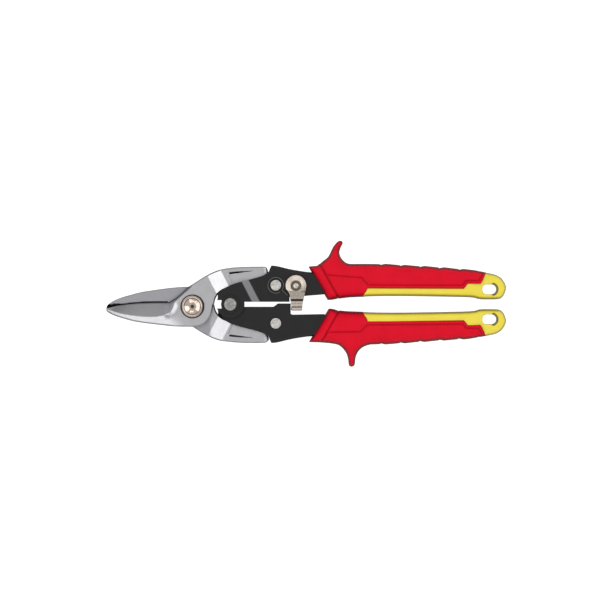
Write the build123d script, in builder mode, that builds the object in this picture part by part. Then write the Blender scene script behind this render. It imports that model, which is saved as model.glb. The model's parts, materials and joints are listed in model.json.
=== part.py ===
from build123d import *
import math
import os

# Aviation snips, lying on their back. The blade pivot's axis stands at X 0, the
# jaws point along -X, the handles along +X, and Z 0 is the plane in which the
# two blades shear. Everything is in millimetres.

os.makedirs("parts", exist_ok=True)

# Linkage: four pivots, all parallel to Z
PIVOT_DROP = 1.4  # blade pivot below the handles' centre line
JOINT_X = 24.6  # blade pivot to handle pivot
TAIL_REACH = 29.35  # handle pivot to the blade-tail rivets, along X
TAIL_SPREAD = 12.3  # each blade-tail rivet from the centre line
LATCH_X = 67.0
LATCH_Y = 12.0

# Blades
JAW_LENGTH = 56.0
BLADE_THICK = 4.7
HUB_R = 13.2
TAIL_THICK = 4.6
TAIL_EYE_R = 6.4
TAIL_FOLD_RUN = 9.6  # length of the slope from hub to tail
TAIL_FOLD_AT = 17.5  # pivot to the start of that slope
TAIL_FOLD_TURN = 27.0  # direction of the slope, degrees from X
JAW_BEVEL_Y = 8.0  # start of the ground bevel, below the pivot's line
JAW_EDGE_THICK = 1.4
JAW_OVERLAP = 2.6  # the ground bevel runs out this far past the centre line

# Handle channels
PLATE = 2.2
NOSE_R = 9.0
STEP_RUN = 4.8  # the outer plate steps out over this length
STEP_X = 38.0
STEP_TURN = 27.2
SLOT_HALF = 1.6  # half of the slot between the two handles
WEB_X = 51.5
BEND_R = 1.6
TANG_STOP = 37.3  # the channel ends this far inside the grip's end
TANG_LOW = 11.8
TANG_HIGH = 18.4
STOP_START = 55.3
STOP_END = 63.6
STOP_TOP = 0.55
STOP_FLANGE = 1.5

# Clearances
TAIL_GAP = 0.2  # blade tail to handle plate, each side
ARM_CLEAR = 0.1  # middle of the spring's arm to the line of a blade tail's inner edge
LAP_GAP = 0.2  # between the two lapped plates
RUNNING = 0.05  # radial, a shaft that turns in its hole
OPEN_PIVOT_GAP = 0.45  # radial, the one tail hole that has room to float
LATCH_GAP = 0.25

# Fasteners
BOLT_R = 4.0
BOLT_HEAD_R = 7.2
BOLT_HEAD_HIGH = 2.9
BOLT_DISH_R = 4.0
BOLT_DISH_DEEP = 1.3
PIVOT_WASHER_R = 8.0
PIVOT_WASHER_THICK = 1.1
NUT_FLATS = 13.0
NUT_HIGH = 3.7
JOINT_RIVET_R = 3.1
JOINT_HEAD_R = 4.2
JOINT_HEAD_HIGH = 1.5
JOINT_WASHER_R = 6.0
JOINT_WASHER_THICK = 0.8
TAIL_RIVET_R = 2.6
TAIL_HEAD_R = 3.65
TAIL_HEAD_HIGH = 1.5
LATCH_RIVET_R = 1.9
LATCH_HEAD_R = 2.9
LATCH_HEAD_HIGH = 0.9
LATCH_WASHER_R = 3.4
LATCH_LIFT = 1.8  # latch disc above the plate
LATCH_THICK = 1.5
LATCH_DISC_R = 6.9
LATCH_FINGER_Y = 14.7  # latch pivot to the middle of its locking finger

# Springs
SLEEVE_WALL = 0.8
COIL_WIRE = 1.3
COIL_GAP = 0.35  # coil's inside to the sleeve
COIL_TURNS = 3
COIL_ARM = 21.0
LATCH_WIRE = 0.9
LATCH_COIL_R = 5.1

# Grips
GRIP_START = 87.5  # inner end of the slanted front edge
GRIP_LEAN = 12.2  # how far that edge leans back over its height
GRIP_LENGTH = 115.8  # from the slanted front edge to the end of the handle
GRIP_THICK = 19.0
CORE_THICK = 15.0
TONGUE_THICK = 13.0
TONGUE_START = 24.5  # behind the grip's front edge
TONGUE_STOP = 29.3  # short of the handle's end
TONGUE_HIGH = 20.5
STRIPE_TOP = 10.2
STRIPE_START = 23.5  # behind the grip's front edge
GUARD_HIGH = 41.2
HANG_SLOT_LONG = 10.7
HANG_SLOT_WIDE = 6.8
HANG_SLOT_Y = 9.7
HANG_SLOT_BACK = 10.8  # slot's centre from the handle's end
SLOT_CORNER = 2.6
SLEEVE_LOW = 3.1

# Levels worked out from the thicknesses
PLATE_IN = TAIL_THICK / 2 + TAIL_GAP
SLEEVE_R = JOINT_RIVET_R + SLEEVE_WALL
COIL_R = SLEEVE_R + COIL_GAP + COIL_WIRE / 2
TAIL_INNER = COIL_R + ARM_CLEAR
PLATE_OUT = PLATE_IN + PLATE
LAP_IN = max(PLATE_OUT, BLADE_THICK) + LAP_GAP
LAP_OUT = LAP_IN + PLATE
WASHER_OUT = LAP_OUT + JOINT_WASHER_THICK
LATCH_BACK = PLATE_OUT + LATCH_LIFT
FOOT_BACK = PLATE_OUT + LATCH_GAP
GRIP_HALF = GRIP_THICK / 2
GRIP_END = GRIP_START + GRIP_LENGTH
TANG_END = GRIP_END - TANG_STOP
STRIPE_X = GRIP_START + STRIPE_START
TONGUE_X = GRIP_START + TONGUE_START
TONGUE_END = GRIP_END - TONGUE_STOP

PIVOT = (0, -PIVOT_DROP)
JOINT = (JOINT_X, 0)
TAIL_X = JOINT_X + TAIL_REACH
UPPER_TAIL = (TAIL_X, TAIL_SPREAD)
LOWER_TAIL = (TAIL_X, -TAIL_SPREAD)
LATCH_PIVOT = (LATCH_X, LATCH_Y)
FAR = 120  # longer than any cut needs


def upright(origin, turn):
    """A plane that stands on XY: its X runs along turn, its Y is +Z."""
    angle = math.radians(turn)
    along = (math.cos(angle), math.sin(angle), 0)
    across = (math.sin(angle), -math.cos(angle), 0)
    return Plane(origin=origin, x_dir=along, z_dir=across)


def stepped_sheet(run, before, after):
    """Section of a sheet that slopes from one pair of levels to another."""
    low_a, high_a = before
    low_b, high_b = after
    with BuildSketch() as section:
        with BuildLine():
            Polyline(
                (-FAR, low_a),
                (0, low_a),
                (run, low_b),
                (FAR, low_b),
                (FAR, high_b),
                (run, high_b),
                (0, high_a),
                (-FAR, high_a),
                close=True,
            )
        make_face()
    return section.sketch


# ---------------------------------------------------------------- blades


def jaw(edge, back):
    """Face between a cutting edge and the jaw's back, tip first. X is given as
    a share of the jaw's length, so the curve keeps its shape on a longer jaw."""
    edge = [(-JAW_LENGTH * x, y) for x, y in edge]
    back = [(-JAW_LENGTH * x, y) for x, y in back]
    with BuildSketch() as face:
        with BuildLine():
            Spline(*edge)
            Line(edge[-1], (0, 0))
            Line((0, 0), (0, back[-1][1]))
            Line((0, back[-1][1]), back[-1])
            Spline(*reversed(back))
            Line(back[0], edge[0])
        make_face()
    return face.sketch


def tail(side, shoulder, back):
    """Face of the tail of one blade, from the hub to the eye around its rivet."""
    rivet_y = side * TAIL_SPREAD
    back = [(x, side * y) for x, y in back]
    end_x = back[-1][0]
    with BuildSketch() as face:
        with BuildLine():
            Line((0, 0), shoulder)
            Line(shoulder, back[0])
            Spline(*back)
            Line(back[-1], (end_x + 1.6, side * 22.9))
            Line((end_x + 1.6, side * 22.9), (end_x + 2.5, side * 20.2))
            Line((end_x + 2.5, side * 20.2), (TAIL_X + 2.0, rivet_y + side * 5.9))
            Line((TAIL_X + 2.0, rivet_y + side * 5.9), (TAIL_X, rivet_y - side * 6.2))
            Line((TAIL_X, rivet_y - side * 6.2), (JOINT_X, side * TAIL_INNER))
            Line((JOINT_X, side * TAIL_INNER), (0, 0))
        make_face()
        with Locations((TAIL_X, rivet_y)):
            Circle(TAIL_EYE_R)
    return face.sketch


def blade_blank(jaw_face, tail_face):
    """Whole outline of one blade, without its holes."""
    with BuildSketch() as face:
        add(jaw_face)
        add(tail_face)
        with Locations(PIVOT):
            Circle(HUB_R)
        with Locations(JOINT):
            Circle(NOSE_R + 1.8, mode=Mode.SUBTRACT)
    return face.sketch


def bevel_section(side):
    """Wedge ground off the outer face of a jaw, seen along the jaw. It thins the
    jaw towards its cutting edge."""
    with BuildSketch() as section:
        with BuildLine():
            Polyline(
                (-side * JAW_BEVEL_Y, side * BLADE_THICK),
                (side * JAW_OVERLAP, side * JAW_EDGE_THICK),
                (side * JAW_OVERLAP, side * (BLADE_THICK + 1)),
                (-side * JAW_BEVEL_Y, side * (BLADE_THICK + 1)),
                close=True,
            )
        make_face()
    return section.sketch


LOWER_JAW_EDGE = [(1.0, -2.6), (0.86, -0.7), (0.66, 0.6), (0.46, 1.15), (0.28, 1.1)]
LOWER_JAW_BACK = [(0.99, -4.5), (0.86, -8.3), (0.68, -11.0), (0.43, -13.0), (0.18, -14.4)]
UPPER_JAW_EDGE = [(1.0, -2.2), (0.86, -2.3), (0.6, -1.6), (0.28, -1.2)]
UPPER_JAW_BACK = [(0.99, -0.5), (0.89, 2.9), (0.71, 6.1), (0.43, 9.4), (0.2, 10.9)]

with BuildPart() as front_blade:
    front_back = [(-3.5, 10.7), (4, 15.6), (10, 19.2), (18, 22.4), (30, 24.1), (46.8, 24.4)]
    with BuildSketch(Plane.XY.offset(-TAIL_THICK / 2)):
        add(blade_blank(jaw(LOWER_JAW_EDGE, LOWER_JAW_BACK), tail(1, (-15.5, 1.1), front_back)))
    extrude(amount=TAIL_THICK / 2 + BLADE_THICK)
    fold = math.radians(TAIL_FOLD_TURN)
    fold_start = (TAIL_FOLD_AT * math.cos(fold), TAIL_FOLD_AT * math.sin(fold) - PIVOT_DROP, 0)
    with BuildSketch(upright(fold_start, TAIL_FOLD_TURN)):
        add(
            stepped_sheet(
                TAIL_FOLD_RUN, (0, BLADE_THICK), (-TAIL_THICK / 2, TAIL_THICK / 2)
            )
        )
    extrude(amount=FAR, both=True, mode=Mode.INTERSECT)
    with BuildSketch(Plane.YZ.offset(-HUB_R - 1)):
        add(bevel_section(1))
    extrude(amount=-JAW_LENGTH, mode=Mode.SUBTRACT)
    with Locations((PIVOT[0], PIVOT[1], BLADE_THICK)):
        Hole(BOLT_R)
    with Locations((UPPER_TAIL[0], UPPER_TAIL[1], TAIL_THICK / 2)):
        Hole(TAIL_RIVET_R + RUNNING)

with BuildPart() as rear_blade:
    rear_back = [(0, 14.6), (6, 18.4), (12, 21.6), (20, 23.9), (30, 24.8), (46.8, 24.9)]
    with BuildSketch(Plane.XY.offset(-BLADE_THICK)):
        add(blade_blank(jaw(UPPER_JAW_EDGE, UPPER_JAW_BACK), tail(-1, (-6, -9), rear_back)))
    extrude(amount=TAIL_THICK / 2 + BLADE_THICK)
    fold_start = (TAIL_FOLD_AT * math.cos(fold), -TAIL_FOLD_AT * math.sin(fold) - PIVOT_DROP, 0)
    with BuildSketch(upright(fold_start, -TAIL_FOLD_TURN)):
        add(
            stepped_sheet(
                TAIL_FOLD_RUN, (-BLADE_THICK, 0), (-TAIL_THICK / 2, TAIL_THICK / 2)
            )
        )
    extrude(amount=FAR, both=True, mode=Mode.INTERSECT)
    with BuildSketch(Plane.YZ.offset(-HUB_R - 1)):
        add(bevel_section(-1))
    extrude(amount=-JAW_LENGTH, mode=Mode.SUBTRACT)
    with Locations((PIVOT[0], PIVOT[1], 0)):
        Hole(BOLT_R + RUNNING)
    with Locations((LOWER_TAIL[0], LOWER_TAIL[1], TAIL_THICK / 2)):
        Hole(TAIL_RIVET_R + OPEN_PIVOT_GAP)


# ------------------------------------------------------- handle channels

PLATE_BACK = [(20, 9.7), (24, 12.1), (28, 13.6), (36, 15.8), (44, 18.0), (49, 20.3)]
RIM_BACK = [(51, 25.1), (54, 24.9), (60, 23.5), (68, 21.9), (76, 20.8)]


def plate(side, inner, cornered):
    """One wall of a handle: nose, side and tang. Only the outer wall of a lapped
    pair has the cornered nose."""
    inner = [(x, side * y) for x, y in inner]
    back = [(x, side * y) for x, y in PLATE_BACK]
    rim = [(x, side * y) for x, y in RIM_BACK]
    nose = (16.4, side * 6.8) if cornered else (18.4, side * 6.6)
    with BuildSketch() as face:
        with BuildLine():
            Polyline((nose[0], 0), nose, back[0])
            Spline(*back)
            Line(back[-1], rim[0])
            Spline(*rim)
            Polyline(
                rim[-1],
                (GRIP_START + 2, side * 20.2),
                (GRIP_START + 15, side * TANG_HIGH),
                (TANG_END, side * TANG_HIGH),
                (TANG_END, side * TANG_LOW),
                (GRIP_START + 15, side * TANG_LOW),
                *reversed(inner),
                (JOINT_X, side * SLOT_HALF),
                (JOINT_X, 0),
                (nose[0], 0),
            )
        make_face()
        with Locations(JOINT):
            Circle(NOSE_R)
        with Locations((JOINT_X - NOSE_R, 0)):
            Rectangle(6.6, 5.4, mode=Mode.SUBTRACT)
    return face.sketch


def web(side):
    """Strip along the rim that joins a handle's two walls."""
    rim = [(x, side * y) for x, y in RIM_BACK]
    with BuildSketch() as face:
        with BuildLine():
            Spline(*rim)
            Polyline(
                rim[-1],
                (GRIP_START + 2, side * 20.2),
                (GRIP_START + 15, side * TANG_HIGH),
                (TANG_END, side * TANG_HIGH),
                (TANG_END, side * (TANG_HIGH - PLATE)),
                (GRIP_START + 15, side * (TANG_HIGH - PLATE)),
                (GRIP_START + 2, side * (20.2 - PLATE)),
                (76, side * (20.8 - PLATE)),
                (60, side * (23.5 - PLATE)),
                (51, side * (25.1 - PLATE)),
                rim[0],
            )
        make_face()
        with Locations((WEB_X - FAR / 2, 0)):
            Rectangle(FAR, FAR, mode=Mode.SUBTRACT)
    return face.sketch


def is_rim_corner(edge):
    """True for the long bends between a wall and the web, clear of the grip."""
    middle = edge.center()
    at_wall = abs(abs(middle.Z) - PLATE_OUT) < 0.01
    return at_wall and middle.X > WEB_X and middle.Y > 20.3 and edge.length > 5


def channel(side, inner):
    """A handle stamping. side 1 has its outer wall in front, side -1 is the same
    stamping turned over about X, so its outer wall is behind."""
    with BuildPart() as stamping:
        with BuildSketch(Plane.XY.offset(PLATE_IN)):
            add(plate(1, inner, cornered=True))
        extrude(amount=LAP_OUT - PLATE_IN)
        with BuildSketch(upright((STEP_X, 2.7, 0), STEP_TURN)):
            add(stepped_sheet(STEP_RUN, (LAP_IN, LAP_OUT), (PLATE_IN, PLATE_OUT)))
        extrude(amount=FAR, both=True, mode=Mode.INTERSECT)
        with BuildSketch(Plane.XY.offset(-PLATE_OUT)):
            add(plate(1, inner, cornered=False))
        extrude(amount=PLATE)
        with BuildSketch(Plane.XY.offset(-PLATE_OUT)):
            add(web(1))
        extrude(amount=2 * PLATE_OUT)
        rim = stamping.edges().filter_by(is_rim_corner)
        fillet(rim, BEND_R)
    if side > 0:
        return stamping.part
    return stamping.part.rotate(Axis.X, 180)


UPPER_INNER = [(62.8, SLOT_HALF), (62.8, 4.6), (GRIP_START - 2.5, 6.4)]
LOWER_INNER = [(STOP_START - 2.8, SLOT_HALF), (64.8, 6.7), (GRIP_START - 2.5, 6.3)]

with BuildPart() as upper_handle_channel:
    add(channel(1, UPPER_INNER))
    with Locations((JOINT_X, 0, LAP_OUT)):
        Hole(JOINT_RIVET_R)
    with Locations((UPPER_TAIL[0], UPPER_TAIL[1], PLATE_OUT)):
        Hole(TAIL_RIVET_R)
    with BuildSketch(Plane.XY.offset(PLATE_IN)):
        with Locations(LATCH_PIVOT):
            Circle(LATCH_RIVET_R)
    extrude(amount=PLATE, mode=Mode.SUBTRACT)

with BuildPart() as lower_handle_channel:
    add(channel(-1, LOWER_INNER))
    # The walls rise past the slot into a stop, and a flange folded between them
    # is what the latch catches under.
    for wall in (-PLATE_OUT, PLATE_IN):
        with BuildSketch(Plane.XY.offset(wall)):
            with BuildLine():
                Polyline(
                    (STOP_START - 2.8, -SLOT_HALF),
                    (STOP_START, STOP_TOP),
                    (STOP_END, STOP_TOP),
                    (STOP_END, -7.5),
                    (STOP_START - 2.8, -7.5),
                    close=True,
                )
            make_face()
        extrude(amount=PLATE)
    with BuildSketch(Plane.XY.offset(-PLATE_OUT)):
        with Locations((STOP_END, STOP_TOP)):
            Rectangle(STOP_END - STOP_START - 1, STOP_FLANGE, align=(Align.MAX, Align.MAX))
    extrude(amount=2 * PLATE_OUT)
    with Locations((JOINT_X, 0, LAP_OUT)):
        Hole(JOINT_RIVET_R + RUNNING)
    with Locations((LOWER_TAIL[0], LOWER_TAIL[1], PLATE_OUT)):
        Hole(TAIL_RIVET_R)


# -------------------------------------------------------------- fasteners

with BuildPart() as pivot_bolt:
    with BuildSketch(Plane.XY.offset(-BLADE_THICK - PIVOT_WASHER_THICK - NUT_HIGH + 0.2)):
        with Locations(PIVOT):
            Circle(BOLT_R)
    extrude(amount=2 * BLADE_THICK + PIVOT_WASHER_THICK + NUT_HIGH - 0.2)
    with BuildSketch(Plane.XY.offset(BLADE_THICK)):
        with Locations(PIVOT):
            Circle(BOLT_HEAD_R)
    extrude(amount=BOLT_HEAD_HIGH)
    fillet(edges().filter_by(GeomType.CIRCLE).group_by(Axis.Z)[-1], BOLT_HEAD_HIGH * 0.55)
    with Locations((PIVOT[0], PIVOT[1], BLADE_THICK + BOLT_HEAD_HIGH)):
        CounterSinkHole(0.6, BOLT_DISH_R, depth=BOLT_DISH_DEEP, counter_sink_angle=140)

with BuildPart() as pivot_washer:
    with BuildSketch(Plane.XY.offset(-BLADE_THICK - PIVOT_WASHER_THICK)):
        with Locations(PIVOT):
            Circle(PIVOT_WASHER_R)
            Circle(BOLT_R, mode=Mode.SUBTRACT)
    extrude(amount=PIVOT_WASHER_THICK)

with BuildPart() as pivot_nut:
    with BuildSketch(Plane.XY.offset(-BLADE_THICK - PIVOT_WASHER_THICK - NUT_HIGH)):
        with Locations(PIVOT):
            RegularPolygon(NUT_FLATS / 2, 6, major_radius=False)
            Circle(BOLT_R, mode=Mode.SUBTRACT)
    extrude(amount=NUT_HIGH)


def rivet(centre, shank_r, head_r, reach, head_high):
    """A rivet with one head in front and one behind, each standing on reach."""
    with BuildPart() as made:
        with BuildSketch(Plane.XY.offset(-reach)):
            with Locations(centre):
                Circle(shank_r)
        extrude(amount=2 * reach)
        for level, height in ((reach, head_high), (-reach, -head_high)):
            with BuildSketch(Plane.XY.offset(level)):
                with Locations(centre):
                    Circle(head_r)
            extrude(amount=height)
        fillet(made.edges().filter_by(GeomType.CIRCLE).group_by(Axis.Z)[-1], head_high * 0.6)
        fillet(made.edges().filter_by(GeomType.CIRCLE).group_by(Axis.Z)[0], head_high * 0.6)
    return made


def ring(centre, inner_r, outer_r, level, thick):
    with BuildPart() as made:
        with BuildSketch(Plane.XY.offset(level)):
            with Locations(centre):
                Circle(outer_r)
                Circle(inner_r, mode=Mode.SUBTRACT)
        extrude(amount=thick)
    return made


handle_rivet = rivet(JOINT, JOINT_RIVET_R, JOINT_HEAD_R, WASHER_OUT, JOINT_HEAD_HIGH)
handle_washer_front = ring(JOINT, JOINT_RIVET_R, JOINT_WASHER_R, LAP_OUT, JOINT_WASHER_THICK)
handle_washer_rear = ring(JOINT, JOINT_RIVET_R, JOINT_WASHER_R, -WASHER_OUT, JOINT_WASHER_THICK)
upper_blade_rivet = rivet(UPPER_TAIL, TAIL_RIVET_R, TAIL_HEAD_R, PLATE_OUT, TAIL_HEAD_HIGH)
lower_blade_rivet = rivet(LOWER_TAIL, TAIL_RIVET_R, TAIL_HEAD_R, PLATE_OUT, TAIL_HEAD_HIGH)
latch_washer = ring(LATCH_PIVOT, LATCH_RIVET_R, LATCH_WASHER_R, PLATE_OUT, LATCH_LIFT)

with BuildPart() as latch_rivet:
    with BuildSketch(Plane.XY.offset(PLATE_IN)):
        with Locations(LATCH_PIVOT):
            Circle(LATCH_RIVET_R)
    extrude(amount=LATCH_BACK + LATCH_THICK - PLATE_IN + RUNNING)
    with BuildSketch(Plane.XY.offset(LATCH_BACK + LATCH_THICK + RUNNING)):
        with Locations(LATCH_PIVOT):
            Circle(LATCH_HEAD_R)
    extrude(amount=LATCH_HEAD_HIGH)
    fillet(edges().filter_by(GeomType.CIRCLE).group_by(Axis.Z)[-1], LATCH_HEAD_HIGH * 0.7)
    with BuildSketch(Plane.XY.offset(PLATE_IN)):
        with Locations(LATCH_PIVOT):
            Circle(LATCH_HEAD_R)
    extrude(amount=-1.2)


# ------------------------------------------------------------------ latch

with BuildPart() as latch:
    foot_low = LATCH_Y - 16.1
    with BuildSketch(Plane.XY.offset(FOOT_BACK)):
        with Locations(LATCH_PIVOT):
            Circle(LATCH_DISC_R)
        with BuildLine():
            Polyline(
                (LATCH_X - 6.7, LATCH_Y - 2),
                (LATCH_X - 4.6, LATCH_Y - 4.6),
                (LATCH_X - 3.8, LATCH_Y - 8.5),
                (LATCH_X - 2.8, foot_low),
                (LATCH_X + 3.8, foot_low),
                (LATCH_X + 4.4, LATCH_Y - 11),
                (LATCH_X + 6.2, LATCH_Y - 4),
                (LATCH_X + 6.7, LATCH_Y - 1.5),
                close=True,
            )
        make_face()
    extrude(amount=LATCH_BACK + LATCH_THICK - FOOT_BACK)
    with BuildSketch(upright((LATCH_X, LATCH_Y - 3.5, 0), -90)):
        add(
            stepped_sheet(
                5.1,
                (LATCH_BACK, LATCH_BACK + LATCH_THICK),
                (FOOT_BACK, FOOT_BACK + LATCH_THICK),
            )
        )
    extrude(amount=FAR, both=True, mode=Mode.INTERSECT)
    # A tab bent back behind the foot, with a finger that points at the stop.
    with BuildSketch(Plane.XY.offset(-1.0)):
        with Locations((LATCH_X - 1.0, LATCH_Y - LATCH_FINGER_Y)):
            Rectangle(2.2, 1.8, align=(Align.MIN, Align.CENTER))
    extrude(amount=FOOT_BACK + 1.2)
    with BuildSketch(Plane.XY.offset(-1.0)):
        with Locations((STOP_END + LATCH_GAP, LATCH_Y - LATCH_FINGER_Y)):
            Rectangle(LATCH_X - STOP_END, 1.8, align=(Align.MIN, Align.CENTER))
    extrude(amount=PLATE_IN + 0.7)
    with Locations((LATCH_X, LATCH_Y, LATCH_BACK + LATCH_THICK)):
        Hole(LATCH_RIVET_R + RUNNING, depth=LATCH_THICK)


# ---------------------------------------------------------------- springs

spring_sleeve = ring(JOINT, JOINT_RIVET_R, SLEEVE_R, -PLATE_IN, 2 * PLATE_IN)

with BuildPart() as handle_spring:
    coil_high = (COIL_TURNS - 1) * COIL_WIRE * 0.96
    for turn in range(COIL_TURNS):
        level = -coil_high / 2 + turn * coil_high / (COIL_TURNS - 1)
        with BuildSketch(Plane.XZ):
            with Locations((COIL_R, level)):
                Circle(COIL_WIRE / 2)
        revolve(axis=Axis.Z)
    for side in (1, -1):
        arm_plane = Plane(origin=(0, side * COIL_R, -side * coil_high / 2), z_dir=(1, -0.05 * side, 0))
        with BuildSketch(arm_plane):
            Circle(COIL_WIRE / 2)
        extrude(amount=COIL_ARM)
handle_spring.part = handle_spring.part.moved(Location((JOINT_X, 0, 0)))

with BuildPart() as latch_spring:
    with BuildSketch(Plane.XZ):
        with Locations((LATCH_COIL_R, PLATE_OUT + LATCH_WIRE / 2)):
            Circle(LATCH_WIRE / 2)
    revolve(axis=Axis.Z)
    arm_start = (LATCH_COIL_R * 0.766, -LATCH_COIL_R * 0.643, PLATE_OUT + LATCH_WIRE / 2)
    with BuildSketch(Plane(origin=arm_start, z_dir=(0.766, -0.643, 0))):
        Circle(LATCH_WIRE / 2)
    extrude(amount=3.6)
latch_spring.part = latch_spring.part.moved(Location((UPPER_TAIL[0], UPPER_TAIL[1], 0)))


# ------------------------------------------------------------------ grips


def core_face(side):
    """The firm inner half of a grip: a stripe along the hand side, widening into
    the hang end."""
    end = GRIP_END
    with BuildSketch() as face:
        with BuildLine():
            Polyline(
                (STRIPE_X + 2, side * STRIPE_TOP),
                (STRIPE_X, side * 4.9),
                (end - 28, side * 4.7),
                (end - 16, side * SLEEVE_LOW),
            )
            Spline(
                (end - 16, side * SLEEVE_LOW),
                (end - 8, side * SLEEVE_LOW),
                (end - 2.2, side * 5.1),
                (end, side * 10.3),
                (end - 3.6, side * 17.2),
                (end - 13.1, side * 20.5),
                tangents=[(1, 0), (-1, side * 0.2)],
            )
            Polyline(
                (end - 13.1, side * 20.5),
                (end - 16.9, side * 13.3),
                (end - 25.3, side * 13.3),
                (end - 27.8, side * STRIPE_TOP),
                (STRIPE_X + 2, side * STRIPE_TOP),
            )
        make_face()
        with Locations((end - HANG_SLOT_BACK, side * HANG_SLOT_Y)):
            RectangleRounded(HANG_SLOT_LONG, HANG_SLOT_WIDE, SLOT_CORNER, mode=Mode.SUBTRACT)
    return face.sketch


def cover_face(side, guard):
    """The soft outer half of a grip, with the guard that keeps the hand back."""
    end = GRIP_END
    front_top = GRIP_START - GRIP_LEAN
    guard = [(GRIP_START + x, side * y) for x, y in guard]
    with BuildSketch() as face:
        with BuildLine():
            Polyline(
                (STRIPE_X + 2, side * STRIPE_TOP),
                (STRIPE_X, side * 4.9),
                (GRIP_START + 6, side * 3.6),
                (GRIP_START, side * 2.7),
                (front_top, side * 24.2),
                guard[0],
            )
            Spline(*guard)
            Spline(
                guard[-1],
                ((guard[-1][0] + end - 40) / 2, side * 25.3),
                (end - 40, side * 23.8),
                (end - 13.1, side * 20.5),
            )
            Polyline(
                (end - 13.1, side * 20.5),
                (end - 16.9, side * 13.3),
                (end - 25.3, side * 13.3),
                (end - 27.8, side * STRIPE_TOP),
                (STRIPE_X + 2, side * STRIPE_TOP),
            )
        make_face()
    return face.sketch


def tongue_face(side):
    """Part of the core that runs on inside the cover."""
    with BuildSketch() as face:
        with Locations(((TONGUE_X + TONGUE_END) / 2, side * (STRIPE_TOP + TONGUE_HIGH) / 2)):
            Rectangle(TONGUE_END - TONGUE_X, TONGUE_HIGH - STRIPE_TOP)
    return face.sketch


def envelope(side):
    """The closed outline of a handle channel, which its grip is moulded round."""
    inner = UPPER_INNER if side > 0 else LOWER_INNER
    return plate(side, inner, cornered=False)


def core(side):
    with BuildPart() as made:
        with BuildSketch(Plane.XY.offset(-CORE_THICK / 2)):
            add(core_face(side))
        extrude(amount=CORE_THICK)
        with BuildSketch(Plane.XY.offset(-TONGUE_THICK / 2)):
            add(tongue_face(side))
        extrude(amount=TONGUE_THICK)
        with BuildSketch(Plane.XY.offset(-PLATE_OUT)):
            add(envelope(side))
        extrude(amount=2 * PLATE_OUT, mode=Mode.SUBTRACT)
    return made


def cover(side, guard):
    with BuildPart() as made:
        with BuildSketch(Plane.XY.offset(-GRIP_HALF)):
            add(cover_face(side, guard))
        extrude(amount=GRIP_THICK)
        with BuildSketch(Plane.XY.offset(-TONGUE_THICK / 2)):
            add(tongue_face(side))
        extrude(amount=TONGUE_THICK, mode=Mode.SUBTRACT)
        with BuildSketch(Plane.XY.offset(-PLATE_OUT)):
            add(envelope(side))
        extrude(amount=2 * PLATE_OUT, mode=Mode.SUBTRACT)
    return made


UPPER_GUARD = [
    (-6, 25.7),
    (-1, 29.6),
    (2.5, 35),
    (5.5, 40.0),
    (8.2, GUARD_HIGH),
    (9.8, 39.5),
    (7.8, 34.5),
    (9.3, 29.3),
    (14, 26.2),
    (30, 26.2),
]
LOWER_GUARD = [
    (-4.3, 24.8),
    (3.7, 25.6),
    (9.5, 28.2),
    (13, 34.7),
    (13.7, 39.4),
    (15.5, GUARD_HIGH - 0.7),
    (17.6, 39.0),
    (18.4, 34),
    (22, 28.4),
    (27.5, 26.1),
]

upper_grip_core = core(1)
upper_grip_cover = cover(1, UPPER_GUARD)
lower_grip_core = core(-1)
lower_grip_cover = cover(-1, LOWER_GUARD)


# ------------------------------------------------------ placing and export

PIECES = {
    "front_blade": front_blade,
    "rear_blade": rear_blade,
    "pivot_bolt": pivot_bolt,
    "pivot_washer": pivot_washer,
    "pivot_nut": pivot_nut,
    "upper_handle_channel": upper_handle_channel,
    "lower_handle_channel": lower_handle_channel,
    "handle_rivet": handle_rivet,
    "handle_washer_front": handle_washer_front,
    "handle_washer_rear": handle_washer_rear,
    "spring_sleeve": spring_sleeve,
    "handle_spring": handle_spring,
    "upper_blade_rivet": upper_blade_rivet,
    "lower_blade_rivet": lower_blade_rivet,
    "latch": latch,
    "latch_rivet": latch_rivet,
    "latch_washer": latch_washer,
    "latch_spring": latch_spring,
    "upper_grip_core": upper_grip_core,
    "upper_grip_cover": upper_grip_cover,
    "lower_grip_core": lower_grip_core,
    "lower_grip_cover": lower_grip_cover,
}

# The finished snips stand with the middle of their base at the origin.
whole = handle_rivet.part.bounding_box()
for piece in PIECES.values():
    whole = whole.add(piece.part.bounding_box())
to_origin = Location((-whole.center().X, -whole.center().Y, -whole.min.Z))
for name, piece in PIECES.items():
    placed = piece.part.moved(to_origin)
    placed.label = name
    export_step(placed, f"parts/{name}.step")
print("blade pivot at", round(-whole.center().X, 4), round(-PIVOT_DROP - whole.center().Y, 4))
print("shear plane at", round(-whole.min.Z, 4), "whole size", whole.size)
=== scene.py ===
"""Aviation snips: the visible surfaces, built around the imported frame."""

import json
import math

import bmesh
import bpy
import numpy as np
from bpy.props import FloatProperty, FloatVectorProperty, PointerProperty
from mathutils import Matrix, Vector, geometry


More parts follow.
